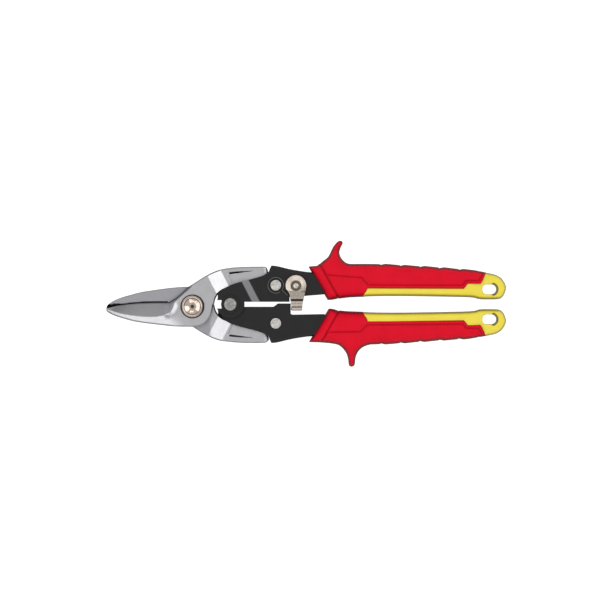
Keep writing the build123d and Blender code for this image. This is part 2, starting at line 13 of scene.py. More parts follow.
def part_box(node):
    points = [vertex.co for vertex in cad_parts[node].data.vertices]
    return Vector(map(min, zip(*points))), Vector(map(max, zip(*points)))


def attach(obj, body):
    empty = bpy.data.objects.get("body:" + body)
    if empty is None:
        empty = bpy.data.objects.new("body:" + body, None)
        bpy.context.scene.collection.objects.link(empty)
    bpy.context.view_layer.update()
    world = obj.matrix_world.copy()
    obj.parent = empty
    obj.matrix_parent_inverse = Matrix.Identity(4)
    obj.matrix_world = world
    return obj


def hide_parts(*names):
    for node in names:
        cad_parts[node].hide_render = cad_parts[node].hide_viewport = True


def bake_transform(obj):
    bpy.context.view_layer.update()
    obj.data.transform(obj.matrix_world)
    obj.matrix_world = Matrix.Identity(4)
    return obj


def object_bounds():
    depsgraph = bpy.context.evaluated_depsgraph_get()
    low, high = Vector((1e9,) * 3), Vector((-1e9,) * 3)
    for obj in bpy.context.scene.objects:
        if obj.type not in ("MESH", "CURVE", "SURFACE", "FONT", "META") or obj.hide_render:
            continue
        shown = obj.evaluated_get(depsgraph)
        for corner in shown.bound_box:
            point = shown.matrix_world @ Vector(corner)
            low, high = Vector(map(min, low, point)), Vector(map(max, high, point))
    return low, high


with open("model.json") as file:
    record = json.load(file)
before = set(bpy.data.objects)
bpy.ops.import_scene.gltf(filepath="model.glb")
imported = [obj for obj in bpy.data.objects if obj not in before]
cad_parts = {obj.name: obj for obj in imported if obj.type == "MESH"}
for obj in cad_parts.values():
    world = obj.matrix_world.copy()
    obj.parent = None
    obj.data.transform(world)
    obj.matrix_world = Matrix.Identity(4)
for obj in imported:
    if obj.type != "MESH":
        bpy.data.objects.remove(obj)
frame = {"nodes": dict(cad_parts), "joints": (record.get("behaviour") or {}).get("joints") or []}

bl_info = {
    "name": "Aviation Snips",
    "version": (1, 0, 0),
    "blender": (4, 5, 0),
    "location": "View3D > Sidebar > Snips",
    "description": "Builds the blades, handles, latch and grips of aviation snips",
    "category": "Add Mesh",
}

CAD_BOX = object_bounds()

# ------------------------------------------------------------------ places
# Every place below is in millimetres from the blade pivot's axis along X, from
# the handles' centre line along Y, and from the shear plane along Z.

MM = 0.001
JOINTS = {j["name"]: Vector(j["pos_m"]) for j in frame["joints"]}
ORIGIN = Vector((
    JOINTS["rear_blade_hinge"].x,
    JOINTS["handle_hinge"].y,
    JOINTS["handle_hinge"].z,
))


def from_frame(point):
    return (Vector(point) - ORIGIN) / MM


def to_frame(x, y, z):
    return ORIGIN + Vector((x, y, z)) * MM


PIVOT = from_frame(JOINTS["rear_blade_hinge"])
JOINT = from_frame(JOINTS["handle_hinge"])
UPPER_TAIL = from_frame(JOINTS["front_blade_hinge"])
LOWER_TAIL = Vector((UPPER_TAIL.x, -UPPER_TAIL.y, 0))
LATCH_PIVOT = from_frame(JOINTS["latch_hinge"])


def levels(node):
    """Lowest and highest Z of a node."""
    low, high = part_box(node)
    return from_frame(low).z, from_frame(high).z


REAR_FACE, TAIL_TOP = levels("rear_blade")
TAIL_BACK, FRONT_FACE = levels("front_blade")
GRIP_FRONT = levels("upper_grip_cover")[1]
CORE_FRONT = levels("upper_grip_core")[1]
PLATE_FRONT = levels("latch_washer")[0]
LATCH_FRONT = levels("latch")[1]
WASHER_FRONT = levels("handle_washer_front")[1]


# ------------------------------------------------------------------ outlines


def line(start, end, step=0.8):
    """Points from start up to, but without, end."""
    start, end = np.array(start, float), np.array(end, float)
    count = max(1, int(math.ceil(np.linalg.norm(end - start) / step)))
    return [tuple(start + (end - start) * i / count) for i in range(count)]


def bent(points, step=0.8):
    """Straight lines from point to point, without the last one."""
    return [p for a, b in zip(points, points[1:]) for p in line(a, b, step)]


def curve(points, step=0.8):
    """A smooth run through points, without its last one."""
    p = np.array(points, float)
    p = np.vstack([2 * p[0] - p[1], p, 2 * p[-1] - p[-2]])
    made = []
    for i in range(1, len(p) - 2):
        a, b, c, d = p[i - 1 : i + 3]
        count = max(2, int(math.ceil(np.linalg.norm(c - b) / step)))
        for t in np.arange(count) / count:
            cubic = (2 * a - 5 * b + 4 * c - d) * t**2 + (3 * b - a - 3 * c + d) * t**3
            made.append(tuple(0.5 * (2 * b + (c - a) * t + cubic)))
    return made


def arc(centre, radius, start, end, step=0.6):
    """An arc by angles in degrees, without its last point."""
    count = max(3, int(abs(math.radians(end - start)) * radius / step))
    angles = np.radians(start + (end - start) * np.arange(count) / count)
    return [(centre[0] + radius * math.cos(a), centre[1] + radius * math.sin(a)) for a in angles]


def circle(centre, radius, step=0.6):
    return arc(centre, radius, 0, 360, step)


def reverse(points):
    return curve(points[::-1])


def on_side(points, side):
    """Points of the upper half, or for side -1 the same in the lower half."""
    return [(x, side * y) for x, y in points]


def inside(x, y, loop):
    """Even-odd test of many points against one closed loop."""
    loop = np.array(loop)
    x1, y1 = loop[:, 0], loop[:, 1]
    x2, y2 = np.roll(x1, -1), np.roll(y1, -1)
    hit = np.zeros(len(x), int)
    for a, b, c, d in zip(x1, y1, x2, y2):
        if b == d:
            continue
        crosses = (y > min(b, d)) & (y <= max(b, d))
        hit += crosses & (x < a + (y - b) * (c - a) / (d - b))
    return hit % 2 == 1


def distance(x, y, path, closed=False):
    """Shortest distance from many points to a path."""
    path = np.array(path, float)
    ends = np.roll(path, -1, axis=0) if closed else path[1:]
    starts = path if closed else path[:-1]
    best = np.full(len(x), 1e9)
    for (ax, ay), (bx, by) in zip(starts, ends):
        ux, uy = bx - ax, by - ay
        length = max(ux * ux + uy * uy, 1e-12)
        t = np.clip(((x - ax) * ux + (y - ay) * uy) / length, 0, 1)
        best = np.minimum(best, np.hypot(x - ax - t * ux, y - ay - t * uy))
    return best


def side_of(x, y, a, b):
    """Signed distance from the line through a and b, positive on its left."""
    ux, uy = b[0] - a[0], b[1] - a[1]
    length = math.hypot(ux, uy)
    return ((y - a[1]) * ux - (x - a[0]) * uy) / length


def smooth(low, high, value):
    t = np.clip((value - low) / (high - low), 0, 1)
    return t * t * (3 - 2 * t)


def rounded(d, radius, power=2.0):
    """0 at an edge, rising to 1 at radius in from it, like a quarter round."""
    t = np.clip(1 - d / radius, 0, 1)
    return (1 - t**power) ** (1 / power)


# ------------------------------------------------------------------ meshes


def new_object(name, vertices, faces, material, centre=None, finish_and_shade=None, sharp=35):
    """A mesh in the frame, with smooth shading and sharp edges past an angle.
    Its per-point values say for each point how its surface was finished, and below 0 how much painted
    shade lies there."""
    centre = centre or Vector((0, 0, 0))
    mesh = bpy.data.meshes.new(name)
    mesh.from_pydata([tuple(to_frame(*v) - centre) for v in vertices], [], faces)
    mesh.materials.append(material)
    if finish_and_shade is not None:
        layer = mesh.attributes.new("finish_and_shade", "FLOAT", "POINT")
        layer.data.foreach_set("value", np.array(finish_and_shade, np.float32))
    mesh.validate()
    mesh.shade_smooth()
    mesh.set_sharp_from_angle(angle=math.radians(sharp))
    made = bpy.data.objects.new(name, mesh)
    made.location = centre
    bpy.context.scene.collection.objects.link(made)
    return made


FEATURE_ROWS = (-0.45, -0.15, 0.15, 0.45)  # rows of points along a line of detail
FEATURE_ROOM = 0.12  # least distance of those rows from the shape's edge
RING_ROOM = 0.93  # share of its ring's width that a point keeps from other edges
FINEST = 0.09  # points closer than this are thinned out


def left_of(along):
    """Unit vectors to the left of the given directions."""
    along = along / np.maximum(np.linalg.norm(along, axis=1), 1e-9)[:, None]
    return np.stack([-along[:, 1], along[:, 0]], 1)


def spread(loops, rings, grid, features):
    """Points over a flat shape: its edges, rows that follow them, lines of
    detail and an even filling."""
    outer = np.array(loops[0])
    fixed = [p for loop in loops for p in loop]
    rows = []
    for loop in loops:
        pts = np.array(loop)
        across = left_of(np.roll(pts, -1, 0) - np.roll(pts, 1, 0))
        for ring in rings:
            rows += [(pts + sign * ring * across, ring * RING_ROOM) for sign in (1, -1)]
    for feature in features:
        pts = np.array(feature)
        across = left_of(np.gradient(pts, axis=0))
        rows += [(pts + off * across, FEATURE_ROOM) for off in FEATURE_ROWS]
    low, high = outer.min(0), outer.max(0)
    xs, ys = np.meshgrid(np.arange(low[0], high[0], grid), np.arange(low[1], high[1], grid * 0.87))
    xs[1::2] += grid / 2
    rows.append((np.stack([xs.ravel(), ys.ravel()], 1), max(rings, default=0) + grid * 0.4))
    kept = []
    for pts, least in rows:
        x, y = pts[:, 0], pts[:, 1]
        kept.extend(map(tuple, pts[in_shape(x, y, loops) & (edge_distance(x, y, loops) > least)]))
    cells = {}
    for x, y in kept:
        cells.setdefault((round(x / FINEST), round(y / FINEST)), (x, y))
    return fixed, list(cells.values())


def in_shape(x, y, loops):
    """Inside the first loop and outside its holes."""
    good = inside(x, y, loops[0])
    for hole in loops[1:]:
        good &= ~inside(x, y, hole)
    return good


def edge_distance(x, y, loops):
    return np.minimum.reduce([distance(x, y, loop, True) for loop in loops])


def relief(name, loops, top, bottom, material, rings, grid=1.0, features=(), finish_and_shade=None, sharp=35):
    """A closed solid over a flat shape. top and bottom give Z from X, Y and the
    distance to the shape's edge, so one call rounds edges and cuts detail."""
    fixed, free = spread(loops, rings, grid, features)
    edges, start = [], 0
    for loop in loops:
        count = len(loop)
        edges += [(start + i, start + (i + 1) % count) for i in range(count)]
        start += count
    flat = [Vector(p) for p in fixed + free]
    found = geometry.delaunay_2d_cdt(flat, edges, [], 0, 1e-5)
    pts = np.array([tuple(v) for v in found[0]])
    tris = np.array([f for f in found[2] if len(f) == 3])
    middle = pts[tris].mean(axis=1)
    tris = tris[in_shape(middle[:, 0], middle[:, 1], loops)]
    a, b, c = pts[tris[:, 0]], pts[tris[:, 1]], pts[tris[:, 2]]
    turn = (b[:, 0] - a[:, 0]) * (c[:, 1] - a[:, 1]) - (b[:, 1] - a[:, 1]) * (c[:, 0] - a[:, 0])
    tris[turn < 0] = tris[turn < 0][:, ::-1]
    used = np.unique(tris)
    renumber = np.full(len(pts), -1)
    renumber[used] = np.arange(len(used))
    pts, tris = pts[used], renumber[tris]
    seen = dict.fromkeys((tri[i], tri[(i + 1) % 3]) for tri in tris.tolist() for i in range(3))
    rim = [(i, j) for i, j in seen if (j, i) not in seen]
    x, y = pts[:, 0], pts[:, 1]
    d = edge_distance(x, y, loops)
    d[[i for pair in rim for i in pair]] = 0
    high, low = top(x, y, d), bottom(x, y, d)
    thin = high < low + 0.02
    middle_z = (high + low) / 2
    high = np.where(thin, middle_z + 0.01, high)
    low = np.where(thin, middle_z - 0.01, low)
    count = len(pts)
    vertices = np.vstack([np.stack([x, y, high], 1), np.stack([x, y, low], 1)])
    faces = [tuple(t) for t in tris.tolist()]
    faces += [(t[2] + count, t[1] + count, t[0] + count) for t in tris.tolist()]
    faces += [(j, i, i + count, j + count) for i, j in rim]
    worked_and_shaded = None
    if finish_and_shade is not None:
        worked_and_shaded = np.concatenate([finish_and_shade(x, y, True), finish_and_shade(x, y, False)])
    return new_object(name, vertices.tolist(), faces, material, finish_and_shade=worked_and_shaded, sharp=sharp)


def lathe(name, centre, profile, material, steps=64, sharp=40, painted_shade_at=None):
    """A turned piece: profile is radius and Z from the axis outwards, closed.
    The last argument gives, by radius and Z, how much painted shade lies there."""
    vertices, faces = [], []
    worked_and_shaded = None if painted_shade_at is None else [-painted_shade_at(r, z) for r, z in profile] * steps
    for k in range(steps):
        a = 2 * math.pi * k / steps
        ahead, aside = math.cos(a), math.sin(a)
        vertices += [(centre.x + r * ahead, centre.y + r * aside, z) for r, z in profile]
    n = len(profile)
    for k in range(steps):
        for i in range(n):
            j = (i + 1) % n
            if profile[i][0] < 1e-6 and profile[j][0] < 1e-6:
                continue
            here, there = k * n, (k + 1) % steps * n
            faces.append((here + i, there + i, there + j, here + j))
    at = to_frame(centre.x, centre.y, 0)
    made = new_object(name, vertices, faces, material, centre=at, finish_and_shade=worked_and_shaded, sharp=180)
    weld(made)
    made.data.set_sharp_from_angle(angle=math.radians(sharp))
    return made


def weld(made):
    """Joins points that lie on each other and turns every face outwards."""
    work = bmesh.new()
    work.from_mesh(made.data)
    bmesh.ops.remove_doubles(work, verts=work.verts, dist=2e-6)
    bmesh.ops.recalc_face_normals(work, faces=work.faces)
    work.to_mesh(made.data)
    work.free()


WIRE_DOME = ((0.7, 0.35), (0.35, 0.8))  # of the radius: how far out, and how wide there


def tube(name, path, radius, material, around=14):
    """A round wire along a path, with domed ends."""
    p = np.array(path, float)
    along = np.gradient(p, axis=0)
    along /= np.linalg.norm(along, axis=1)[:, None]
    side = np.cross(along[0], (0.3, 0.2, 1.0))
    side /= np.linalg.norm(side)
    rows = [(p[0] - along[0] * radius * out, along[0], side, wide) for out, wide in WIRE_DOME]
    for i in range(len(p)):
        side = side - along[i] * np.dot(side, along[i])
        side /= np.linalg.norm(side)
        rows.append((p[i], along[i], side, 1.0))
    rows += [(p[-1] + along[-1] * radius * out, along[-1], side, wide) for out, wide in WIRE_DOME[::-1]]
    vertices, faces = [], []
    for centre, ahead, out, scale in rows:
        up = np.cross(ahead, out)
        for k in range(around):
            a = 2 * math.pi * k / around
            vertices.append(tuple(centre + radius * scale * (out * math.cos(a) + up * math.sin(a))))
    for i in range(len(rows) - 1):
        for k in range(around):
            m = (k + 1) % around
            faces.append((i * around + k, i * around + m, (i + 1) * around + m, (i + 1) * around + k))
    faces.append(tuple(reversed(range(around))))
    faces.append(tuple((len(rows) - 1) * around + k for k in range(around)))
    made = new_object(name, vertices, faces, material, sharp=60)
    weld(made)
    return made


# ------------------------------------------------------------------ materials
# A pattern or colour is handed on as a node with the name of its output.


def linear(code):
    """An sRGB hex colour as linear values."""
    parts = [int(code[i : i + 2], 16) / 255 for i in (1, 3, 5)]
    return tuple(c / 12.92 if c <= 0.04045 else ((c + 0.055) / 1.055) ** 2.4 for c in parts)


def shade(colour, factor):
    return tuple(min(1.0, c * factor) for c in colour)


def add_node(tree, kind, settings=None, links=None):
    """One node, with its settings by name and its inputs fed from other nodes."""
    made = tree.nodes.new(kind)
    for key, value in (settings or {}).items():
        if isinstance(key, int) or key in made.inputs:
            made.inputs[key].default_value = value
        else:
            setattr(made, key, value)
    for key, (source, output) in (links or {}).items():
        tree.links.new(source.outputs[output], made.inputs[key])
    return made


def start_material(name):
    made = bpy.data.materials.new(name)
    made.use_nodes = True
    tree = made.node_tree
    tree.nodes.clear()
    return made, tree, (add_node(tree, "ShaderNodeTexCoord"), "Object")


def end_material(tree, settings, links, rough=None, relief=None):
    """The surface itself. rough is a pattern with the roughness at its low and at
    its high end, and relief a pattern with its depth in millimetres, which lies
    over any normal in links."""
    if rough:
        pattern, low, high = rough
        span = {"From Min": 0.3, "From Max": 0.7, "To Min": low, "To Max": high}
        ranged = add_node(tree, "ShaderNodeMapRange", span, {"Value": pattern})
        links["Roughness"] = (ranged, "Result")
    if relief:
        pattern, depth = relief
        under = {"Normal": links["Normal"]} if "Normal" in links else {}
        raised = add_node(
            tree, "ShaderNodeBump", {"Strength": 1.0, "Distance": depth * MM}, {"Height": pattern, **under}
        )
        links["Normal"] = (raised, "Normal")
    surface = add_node(tree, "ShaderNodeBsdfPrincipled", settings, links)
    add_node(tree, "ShaderNodeOutputMaterial", links={"Surface": (surface, "BSDF")})


def marks(tree, place, size_mm, detail, stretch=(1, 1, 1)):
    """An uneven pattern whose blobs are about size_mm across."""
    scaled = add_node(tree, "ShaderNodeMapping", {"Scale": stretch}, {"Vector": place})
    pattern = {"Scale": 1 / (size_mm * MM), "Detail": detail, "Roughness": 0.55}
    return add_node(tree, "ShaderNodeTexNoise", pattern, {"Vector": (scaled, "Vector")}), "Fac"


def tint(tree, pattern, colour, dark, light):
    """A colour that varies with a pattern, between two shades of itself."""
    ramp = add_node(tree, "ShaderNodeValToRGB", links={"Fac": pattern})
    for stop, position, factor in zip(ramp.color_ramp.elements, (0.3, 0.7), (dark, light)):
        stop.position = position
        stop.color = (*shade(colour, factor), 1)
    return ramp, "Color"


def toned(tree, base, dark, value, start, end):
    """Base colour, turning to dark as value goes from start to end."""
    amount = add_node(tree, "ShaderNodeMapRange", {"From Min": start, "From Max": end}, {"Value": value})
    return add_node(
        tree, "ShaderNodeMix", {"data_type": "RGBA", 7: (*linear(dark), 1)},
        {0: (amount, "Result"), 6: base},
    ), 2


def darkened_below_zero(tree, base, dark):
    """Base colour, turning to dark where the mesh's per-point value falls below 0:
    painted shade in gaps, slots, grooves, crevices and on rims and steps, and a
    darker ground bevel on the front blade."""
    worked_and_shaded = add_node(tree, "ShaderNodeAttribute", {"attribute_name": "finish_and_shade"})
    return toned(tree, base, dark, (worked_and_shaded, "Fac"), 0.0, -1.0)


def side_shaded(tree, base, dark):
    """Base colour, with painted shade on the upright sides: darker where the
    surface turns from facing up."""
    facing = add_node(tree, "ShaderNodeNewGeometry")
    split = add_node(tree, "ShaderNodeSeparateXYZ", links={"Vector": (facing, "Normal")})
    upright = add_node(tree, "ShaderNodeMath", {"operation": "ABSOLUTE"}, {0: (split, "Z")})
    return toned(tree, base, dark, (upright, 0), 0.72, 0.3)


GREY_GROUND, GREY_BLASTED, GREY_POLISHED = "#BABABA", "#A4A4A4", "#858585"  # roughness


def blade_steel(colours):
    """Forged carbon steel: surface ground on the cutting faces, bead blasted on
    the hub and tails, and belt polished on the jaws' backs and on the folds. The
    mesh carries which: 0 ground, 0.5 blasted, 1 polished; below 0 the colour
    turns towards near black, for a darker ground bevel and for painted shade in
    gaps, slots and the bolt's seat, darkest at -1."""
    made, tree, place = start_material("forged_steel_ground_blasted_and_polished")
    worked_and_shaded = (add_node(tree, "ShaderNodeAttribute", {"attribute_name": "finish_and_shade"}), "Fac")
    # beads of 0.35 mm leave dimples; grit leaves 0.3 mm streaks along the jaw
    dimples = marks(tree, place, 0.35, 2.0)
    streaks = marks(tree, place, 0.3, 3.0, (0.07, 1.0, 1.0))
    shine = add_node(tree, "ShaderNodeValToRGB", links={"Fac": worked_and_shaded})
    stops = shine.color_ramp.elements
    stops[0].color = (*linear(GREY_GROUND), 1)
    stops[1].color = (*linear(GREY_POLISHED), 1)
    stops.new(0.5).color = (*linear(GREY_BLASTED), 1)
    patchy = tint(tree, marks(tree, place, 5.0, 3.0), colours.steel, 0.95, 1.04)
    ground = tint(tree, streaks, colours.ground, 0.94, 1.05)
    amount = add_node(tree, "ShaderNodeMapRange", {"From Min": 0.1, "From Max": 0.4}, {"Value": worked_and_shaded})
    base = add_node(
        tree, "ShaderNodeMix", {"data_type": "RGBA"}, {0: (amount, "Result"), 6: ground, 7: patchy}
    )
    pits = add_node(tree, "ShaderNodeBump", {"Strength": 1.0, "Distance": 0.004 * MM}, {"Height": dimples})
    # below 0 the colour turns to near black: a darker ground bevel and painted shade in gaps, slots and
    # the bolt's seat
    links = {
        "Base Color": darkened_below_zero(tree, (base, 2), "#101012"),
        "Roughness": (shine, "Color"),
        "Normal": (pits, "Normal"),
    }
    end_material(tree, {"Metallic": 1.0}, links, relief=(streaks, 0.0015))
    return made


def turned_nickel(colours):
    """Nickel-plated steel, lathe turned: warm, with rings that stretch glints
    into a bow tie."""
    made, tree, place = start_material("nickel_plated_steel_turned")
    # tool marks 0.15 mm apart, as rings about the axis
    rings = add_node(tree, "ShaderNodeTexWave", {
        "wave_type": "RINGS",
        "rings_direction": "Z",
        "Scale": 0.314 / (0.3 * MM),
        "Distortion": 0.4,
    }, {"Vector": place})
    cloud = marks(tree, place, 2.0, 2.0)
    around = add_node(tree, "ShaderNodeTangent", {"direction_type": "RADIAL", "axis": "Z"})
    # below 0 the colour turns to dark brown: painted shade in the bolt's dimple, step and rim edge
    base = darkened_below_zero(tree, tint(tree, cloud, colours.turned, 0.88, 1.06), "#1C1512")
    end_material(
        tree, {"Metallic": 1.0, "Anisotropic": 0.7}, {"Base Color": base, "Tangent": (around, "Tangent")},
        (cloud, 0.08, 0.14), ((rings, "Fac"), 0.0004),
    )
    return made


def stamped_nickel(colours):
    """Nickel-plated sheet steel, stamped: warm satin, with soft tumbling marks."""
    made, tree, place = start_material("nickel_plated_steel_stamped")
    # tumbled in a barrel, which leaves marks about 0.8 mm across
    tumbled = marks(tree, place, 0.8, 4.0)
    # below 0 the colour turns to dark brown: painted shade on the latch and its rivet
    base = darkened_below_zero(tree, tint(tree, tumbled, colours.nickel, 0.9, 1.08), "#231815")
    end_material(tree, {"Metallic": 1.0}, {"Base Color": base}, (tumbled, 0.24, 0.36), (tumbled, 0.01))
    return made


def rivet_steel(name, colour):
    """Zinc-plated steel, cold headed: pale, with the shallow pits of the tool."""
    made, tree, place = start_material(name)
    # pits of 0.6 mm left by the heading tool, drawn at 1.1 mm so that they show
    pits = marks(tree, place, 1.1, 4.0)
    # below 0 the colour turns to near black: painted shadow on the heads' rims
    base = darkened_below_zero(tree, tint(tree, pits, colour, 0.62, 1.15), "#101010")
    end_material(tree, {"Metallic": 1.0}, {"Base Color": base}, (pits, 0.26, 0.42), (pits, 0.045))
    return made


def spring_steel(colours):
    """Spring steel, cold drawn: dark grey, with fine lines left by the die."""
    made, tree, place = start_material("spring_steel_cold_drawn")
    # die lines, about 0.2 mm apart
    lines = marks(tree, place, 0.2, 2.0)
    base = tint(tree, lines, colours.steel, 0.22, 0.32)
    end_material(tree, {"Metallic": 1.0}, {"Base Color": base}, (lines, 0.25, 0.35))
    return made


def coated_steel(colours, highlight_node=None):
    """Sheet steel, black electrocoated: thin satin paint with a slight texture
    over pressed edges. The last argument is a node's name, whose lapped step
    gets a painted highlight, a pale grey band."""
    made, tree, place = start_material("sheet_steel_black_electrocoated" + ("_step_highlight" if highlight_node else ""))
    # coating grain of 0.4 mm
    grain = marks(tree, place, 0.4, 3.0)
    base = tint(tree, marks(tree, place, 8.0, 2.0), colours.black, 0.8, 1.2)
    edge = add_node(tree, "ShaderNodeBevel", {"Radius": 0.6 * MM, "samples": 4})
    if highlight_node:
        base = step_highlight(tree, place, base, colours.step_highlight, highlight_node)
    end_material(
        tree, {"Specular IOR Level": 0.35}, {"Base Color": base, "Normal": (edge, "Normal")},
        (grain, 0.34, 0.46), (grain, 0.005),
    )
    return made


def step_highlight(tree, place, base, highlight_colour, node):
    """Base colour, with a painted highlight, a pale grey band, on the step across a channel."""
    turn = math.radians(27.2)
    into = frame["nodes"][node].matrix_world.inverted()
    start = into @ to_frame(38.0, 2.7, 0)
    offset = start.x * math.cos(turn) + start.y * math.sin(turn)
    face = (into @ to_frame(0, 0, PLATE_FRONT + 0.1)).z
    ahead = {"operation": "DOT_PRODUCT", 1: (math.cos(turn), math.sin(turn), 0)}
    across = (add_node(tree, "ShaderNodeVectorMath", ahead, {0: place}), "Value")
    height = (add_node(tree, "ShaderNodeSeparateXYZ", links={"Vector": place}), "Z")
    limits = (
        (across, offset - 0.2 * MM, offset + 0.5 * MM, 0, 1),
        (across, offset + 4.1 * MM, offset + 5.0 * MM, 1, 0),
        (height, face - 0.1 * MM, face + 0.1 * MM, 0, 1),
    )
    amount = None
    for value, begin, end, before, after in limits:
        span = {"From Min": begin, "From Max": end, "To Min": before, "To Max": after}
        ramp = add_node(tree, "ShaderNodeMapRange", span, {"Value": value})
        if amount:
            both = {0: (amount, 0), 1: (ramp, 0)}
            ramp = add_node(tree, "ShaderNodeMath", {"operation": "MULTIPLY"}, both)
        amount = ramp
    # the painted highlight is patchy, in patches about 0.5 mm across
    glare = tint(tree, marks(tree, place, 0.5, 4.0), highlight_colour, 0.85, 1.1)
    return add_node(tree, "ShaderNodeMix", {"data_type": "RGBA"}, {0: (amount, 0), 6: base, 7: glare}), 2


def red_rubber(colours):
    """Thermoplastic rubber, moulded in a spark-eroded tool: matt and soft, with a
    fine even grain."""
    made, tree, place = start_material("thermoplastic_rubber_moulded_red")
    # spark-eroded grain of 0.25 mm, drawn at 0.4 mm so that it shows
    grain = marks(tree, place, 0.4, 2.0)
    # painted shade on the upright sides, and painted shade in the collar groove, the crease round the pad
    # and along the border with the core
    base = side_shaded(tree, tint(tree, marks(tree, place, 9.0, 3.0), colours.red, 0.93, 1.03), "#5E0612")
    base = darkened_below_zero(tree, base, "#6E0410")
    end_material(
        tree, {"Specular IOR Level": 0.05}, {"Base Color": base}, (grain, 0.46, 0.6), (grain, 0.012)
    )
    return made


def yellow_plastic(colours):
    """Polypropylene, injection moulded: smooth satin, with painted shade on its upright sides."""
    made, tree, place = start_material("polypropylene_moulded_yellow")
    # mould grain of 0.3 mm, drawn at 0.4 mm so that it shows, and flow clouds
    grain = marks(tree, place, 0.4, 2.0)
    clouds = marks(tree, place, 11.0, 3.0)
    base = side_shaded(tree, tint(tree, clouds, colours.yellow, 0.96, 1.03), "#7E7412")
    end_material(
        tree, {"Specular IOR Level": 0.3}, {"Base Color": base}, (grain, 0.36, 0.46), (grain, 0.006)
    )
    return made


# ------------------------------------------------------------------ blades

NOSE_ARC_R = 10.4  # hollow of each blade round the handle pivot
TAIL_EYE_R = 6.4
BOLT_HOLE_R = 4.0
BLADE_FIT = 0.05  # play of the rear blade on the bolt
SEAT_R = 7.6  # counterbore for the bolt's head
FOLD_TURN = math.radians(27)  # of the folds that lift hub and tail to their levels
FOLD_START = 17.5
FOLD_RUN = 9.6
JAW_END = 0.2  # X where a jaw's outer face meets the flat hub
LIP = 1.9  # thickness left at the tip's edge
LAND = 1.6  # flat width along a cutting edge, and its drop beside the hub
SHOULDER = 4.6  # width over which the hub rounds down to the ground jaw
SHOULDER_FALL = 0.036

LOWER_EDGE = [(-56.0, -2.7), (-52, -1.6), (-48, -0.75), (-40, 0.35), (-32, 0.95), (-24, 1.2),
              (-18, 1.15), (-15.5, 1.35), (-13, 2.7), (-10, 4.7), (-6, 8.2), (-3.5, 10.7), (-2, 11.7)]
CUTTING_LINE = LOWER_EDGE[:-5]
LOWER_BACK = [(0, -14.6), (-10, -14.4), (-16, -13.9), (-24, -13.0), (-32, -12.0), (-38, -11.0),
              (-45, -9.1), (-50, -7.5), (-54, -5.6), (-55.7, -4.2), (-56.0, -2.7)]
UPPER_BACK = [(-56.0, -1.3), (-53.6, 0.8), (-50, 2.9), (-45, 4.8), (-40, 6.2), (-36, 7.3),
              (-32, 8.2), (-24, 9.4), (-16, 10.5), (-12, 10.9), (-6, 11.3), (-2, 11.4)]
UPPER_EDGE = [(-3, -9), (-10, -4), (-16, -1.4), (-30, -1.5), (-45, -2.3), (-56.0, -2.6)]
GRIND_LINE = [(-57.5, -3.0), (-54, -3.5), (-50, -4.9), (-46, -6.0), (-40, -7.0), (-32, -7.9),
              (-24, -7.9), (-20, -7.3), (-16.8, -6.3), (-14.4, -4.9), (-12.9, -3.0), (-12.0, -0.8),
              (-11.2, 1.3), (-8.9, 3.6), (-4.9, 7.1), (-0.4, 11.2), (0.2, 12.6)]


def tail_loop(side, back, end):
    """The tail's part of a blade's outline, from its back to the nose hollow."""
    rivet = (UPPER_TAIL.x, side * UPPER_TAIL.y)
    shoulder = (rivet[0] + TAIL_EYE_R * math.cos(math.radians(70)), side * (UPPER_TAIL.y + 6.0))
    pts = curve(back) + curve(end) + line(end[-1], shoulder)
    pts += arc(rivet, TAIL_EYE_R, side * 70, side * -92)
    pts += curve(on_side([(rivet[0] - 0.3, 5.9), (44, 6.0), (37, 6.1), (33.0, 6.1)], side))
    pts += arc((JOINT.x, 0), NOSE_ARC_R, side * 36, side * 176)
    return pts


def front_blade_loop():
    back = [(-2, 11.7), (2, 14.3), (6, 16.9), (10, 19.2), (14, 21.1), (18, 22.5), (24, 23.6),
            (30, 24.1), (38, 24.35), (46.4, 24.4)]
    end = [(46.4, 24.4), (47.7, 24.1), (48.4, 23.0), (48.8, 21.5), (49.4, 20.2)]
    pts = tail_loop(1, back, end)
    pts += curve([(14.2, 0.7), (13.4, -0.6), (13.2, -2.0)], 0.4)
    pts += curve([(13.2, -2.0), (12.7, -4.6), (11.5, -7.8), (9.3, -10.9), (6.2, -13.3), (3, -14.3),
                  (0, -14.6)])
    return pts + curve(LOWER_BACK) + curve(LOWER_EDGE)


def rear_blade_loop():
    back = [(0, -14.6), (2, -15.9), (6, -18.4), (10, -20.6), (14, -22.4), (18, -23.6), (24, -24.4),
            (30, -24.9), (38, -25.15), (46.6, -25.0)]
    end = [(46.6, -25.0), (48.3, -24.5), (49.3, -23.3), (49.3, -21.4), (48.7, -20.0)]
    pts = tail_loop(-1, back, end)
    pts += curve([(14.2, -0.7), (13.2, 1.0), (12.2, 3.6), (9.6, 7.2), (6, 9.8), (2, 11.2), (-2, 11.4)])
    return pts + reverse(UPPER_BACK) + reverse(UPPER_EDGE) + line((-3, -9), (0, -14.6))


def past_fold(x, y, side):
    """Distance past the first of a blade's two folds."""
    return x * math.cos(FOLD_TURN) + side * (y - PIVOT.y) * math.sin(FOLD_TURN) - FOLD_START


def fold_level(x, y, side, before, after):
    """Height along the slope between hub and tail."""
    return before + (after - before) * np.clip(past_fold(x, y, side) / FOLD_RUN, 0, 1)


def fold_part(x, y, side):
    """1 on the slope between hub and tail, 0 elsewhere."""
    along = past_fold(x, y, side)
    return smooth(-0.2, 0.3, along) * (1 - smooth(FOLD_RUN - 0.3, FOLD_RUN + 0.2, along))


def on_bevel(x, y, side, line_pts):
    """Whether points lie on the cutting side of a jaw's grinding line."""
    return inside(x, y, curve(line_pts, 1.0) + [(0, 30 * side), (-80, 30 * side)])


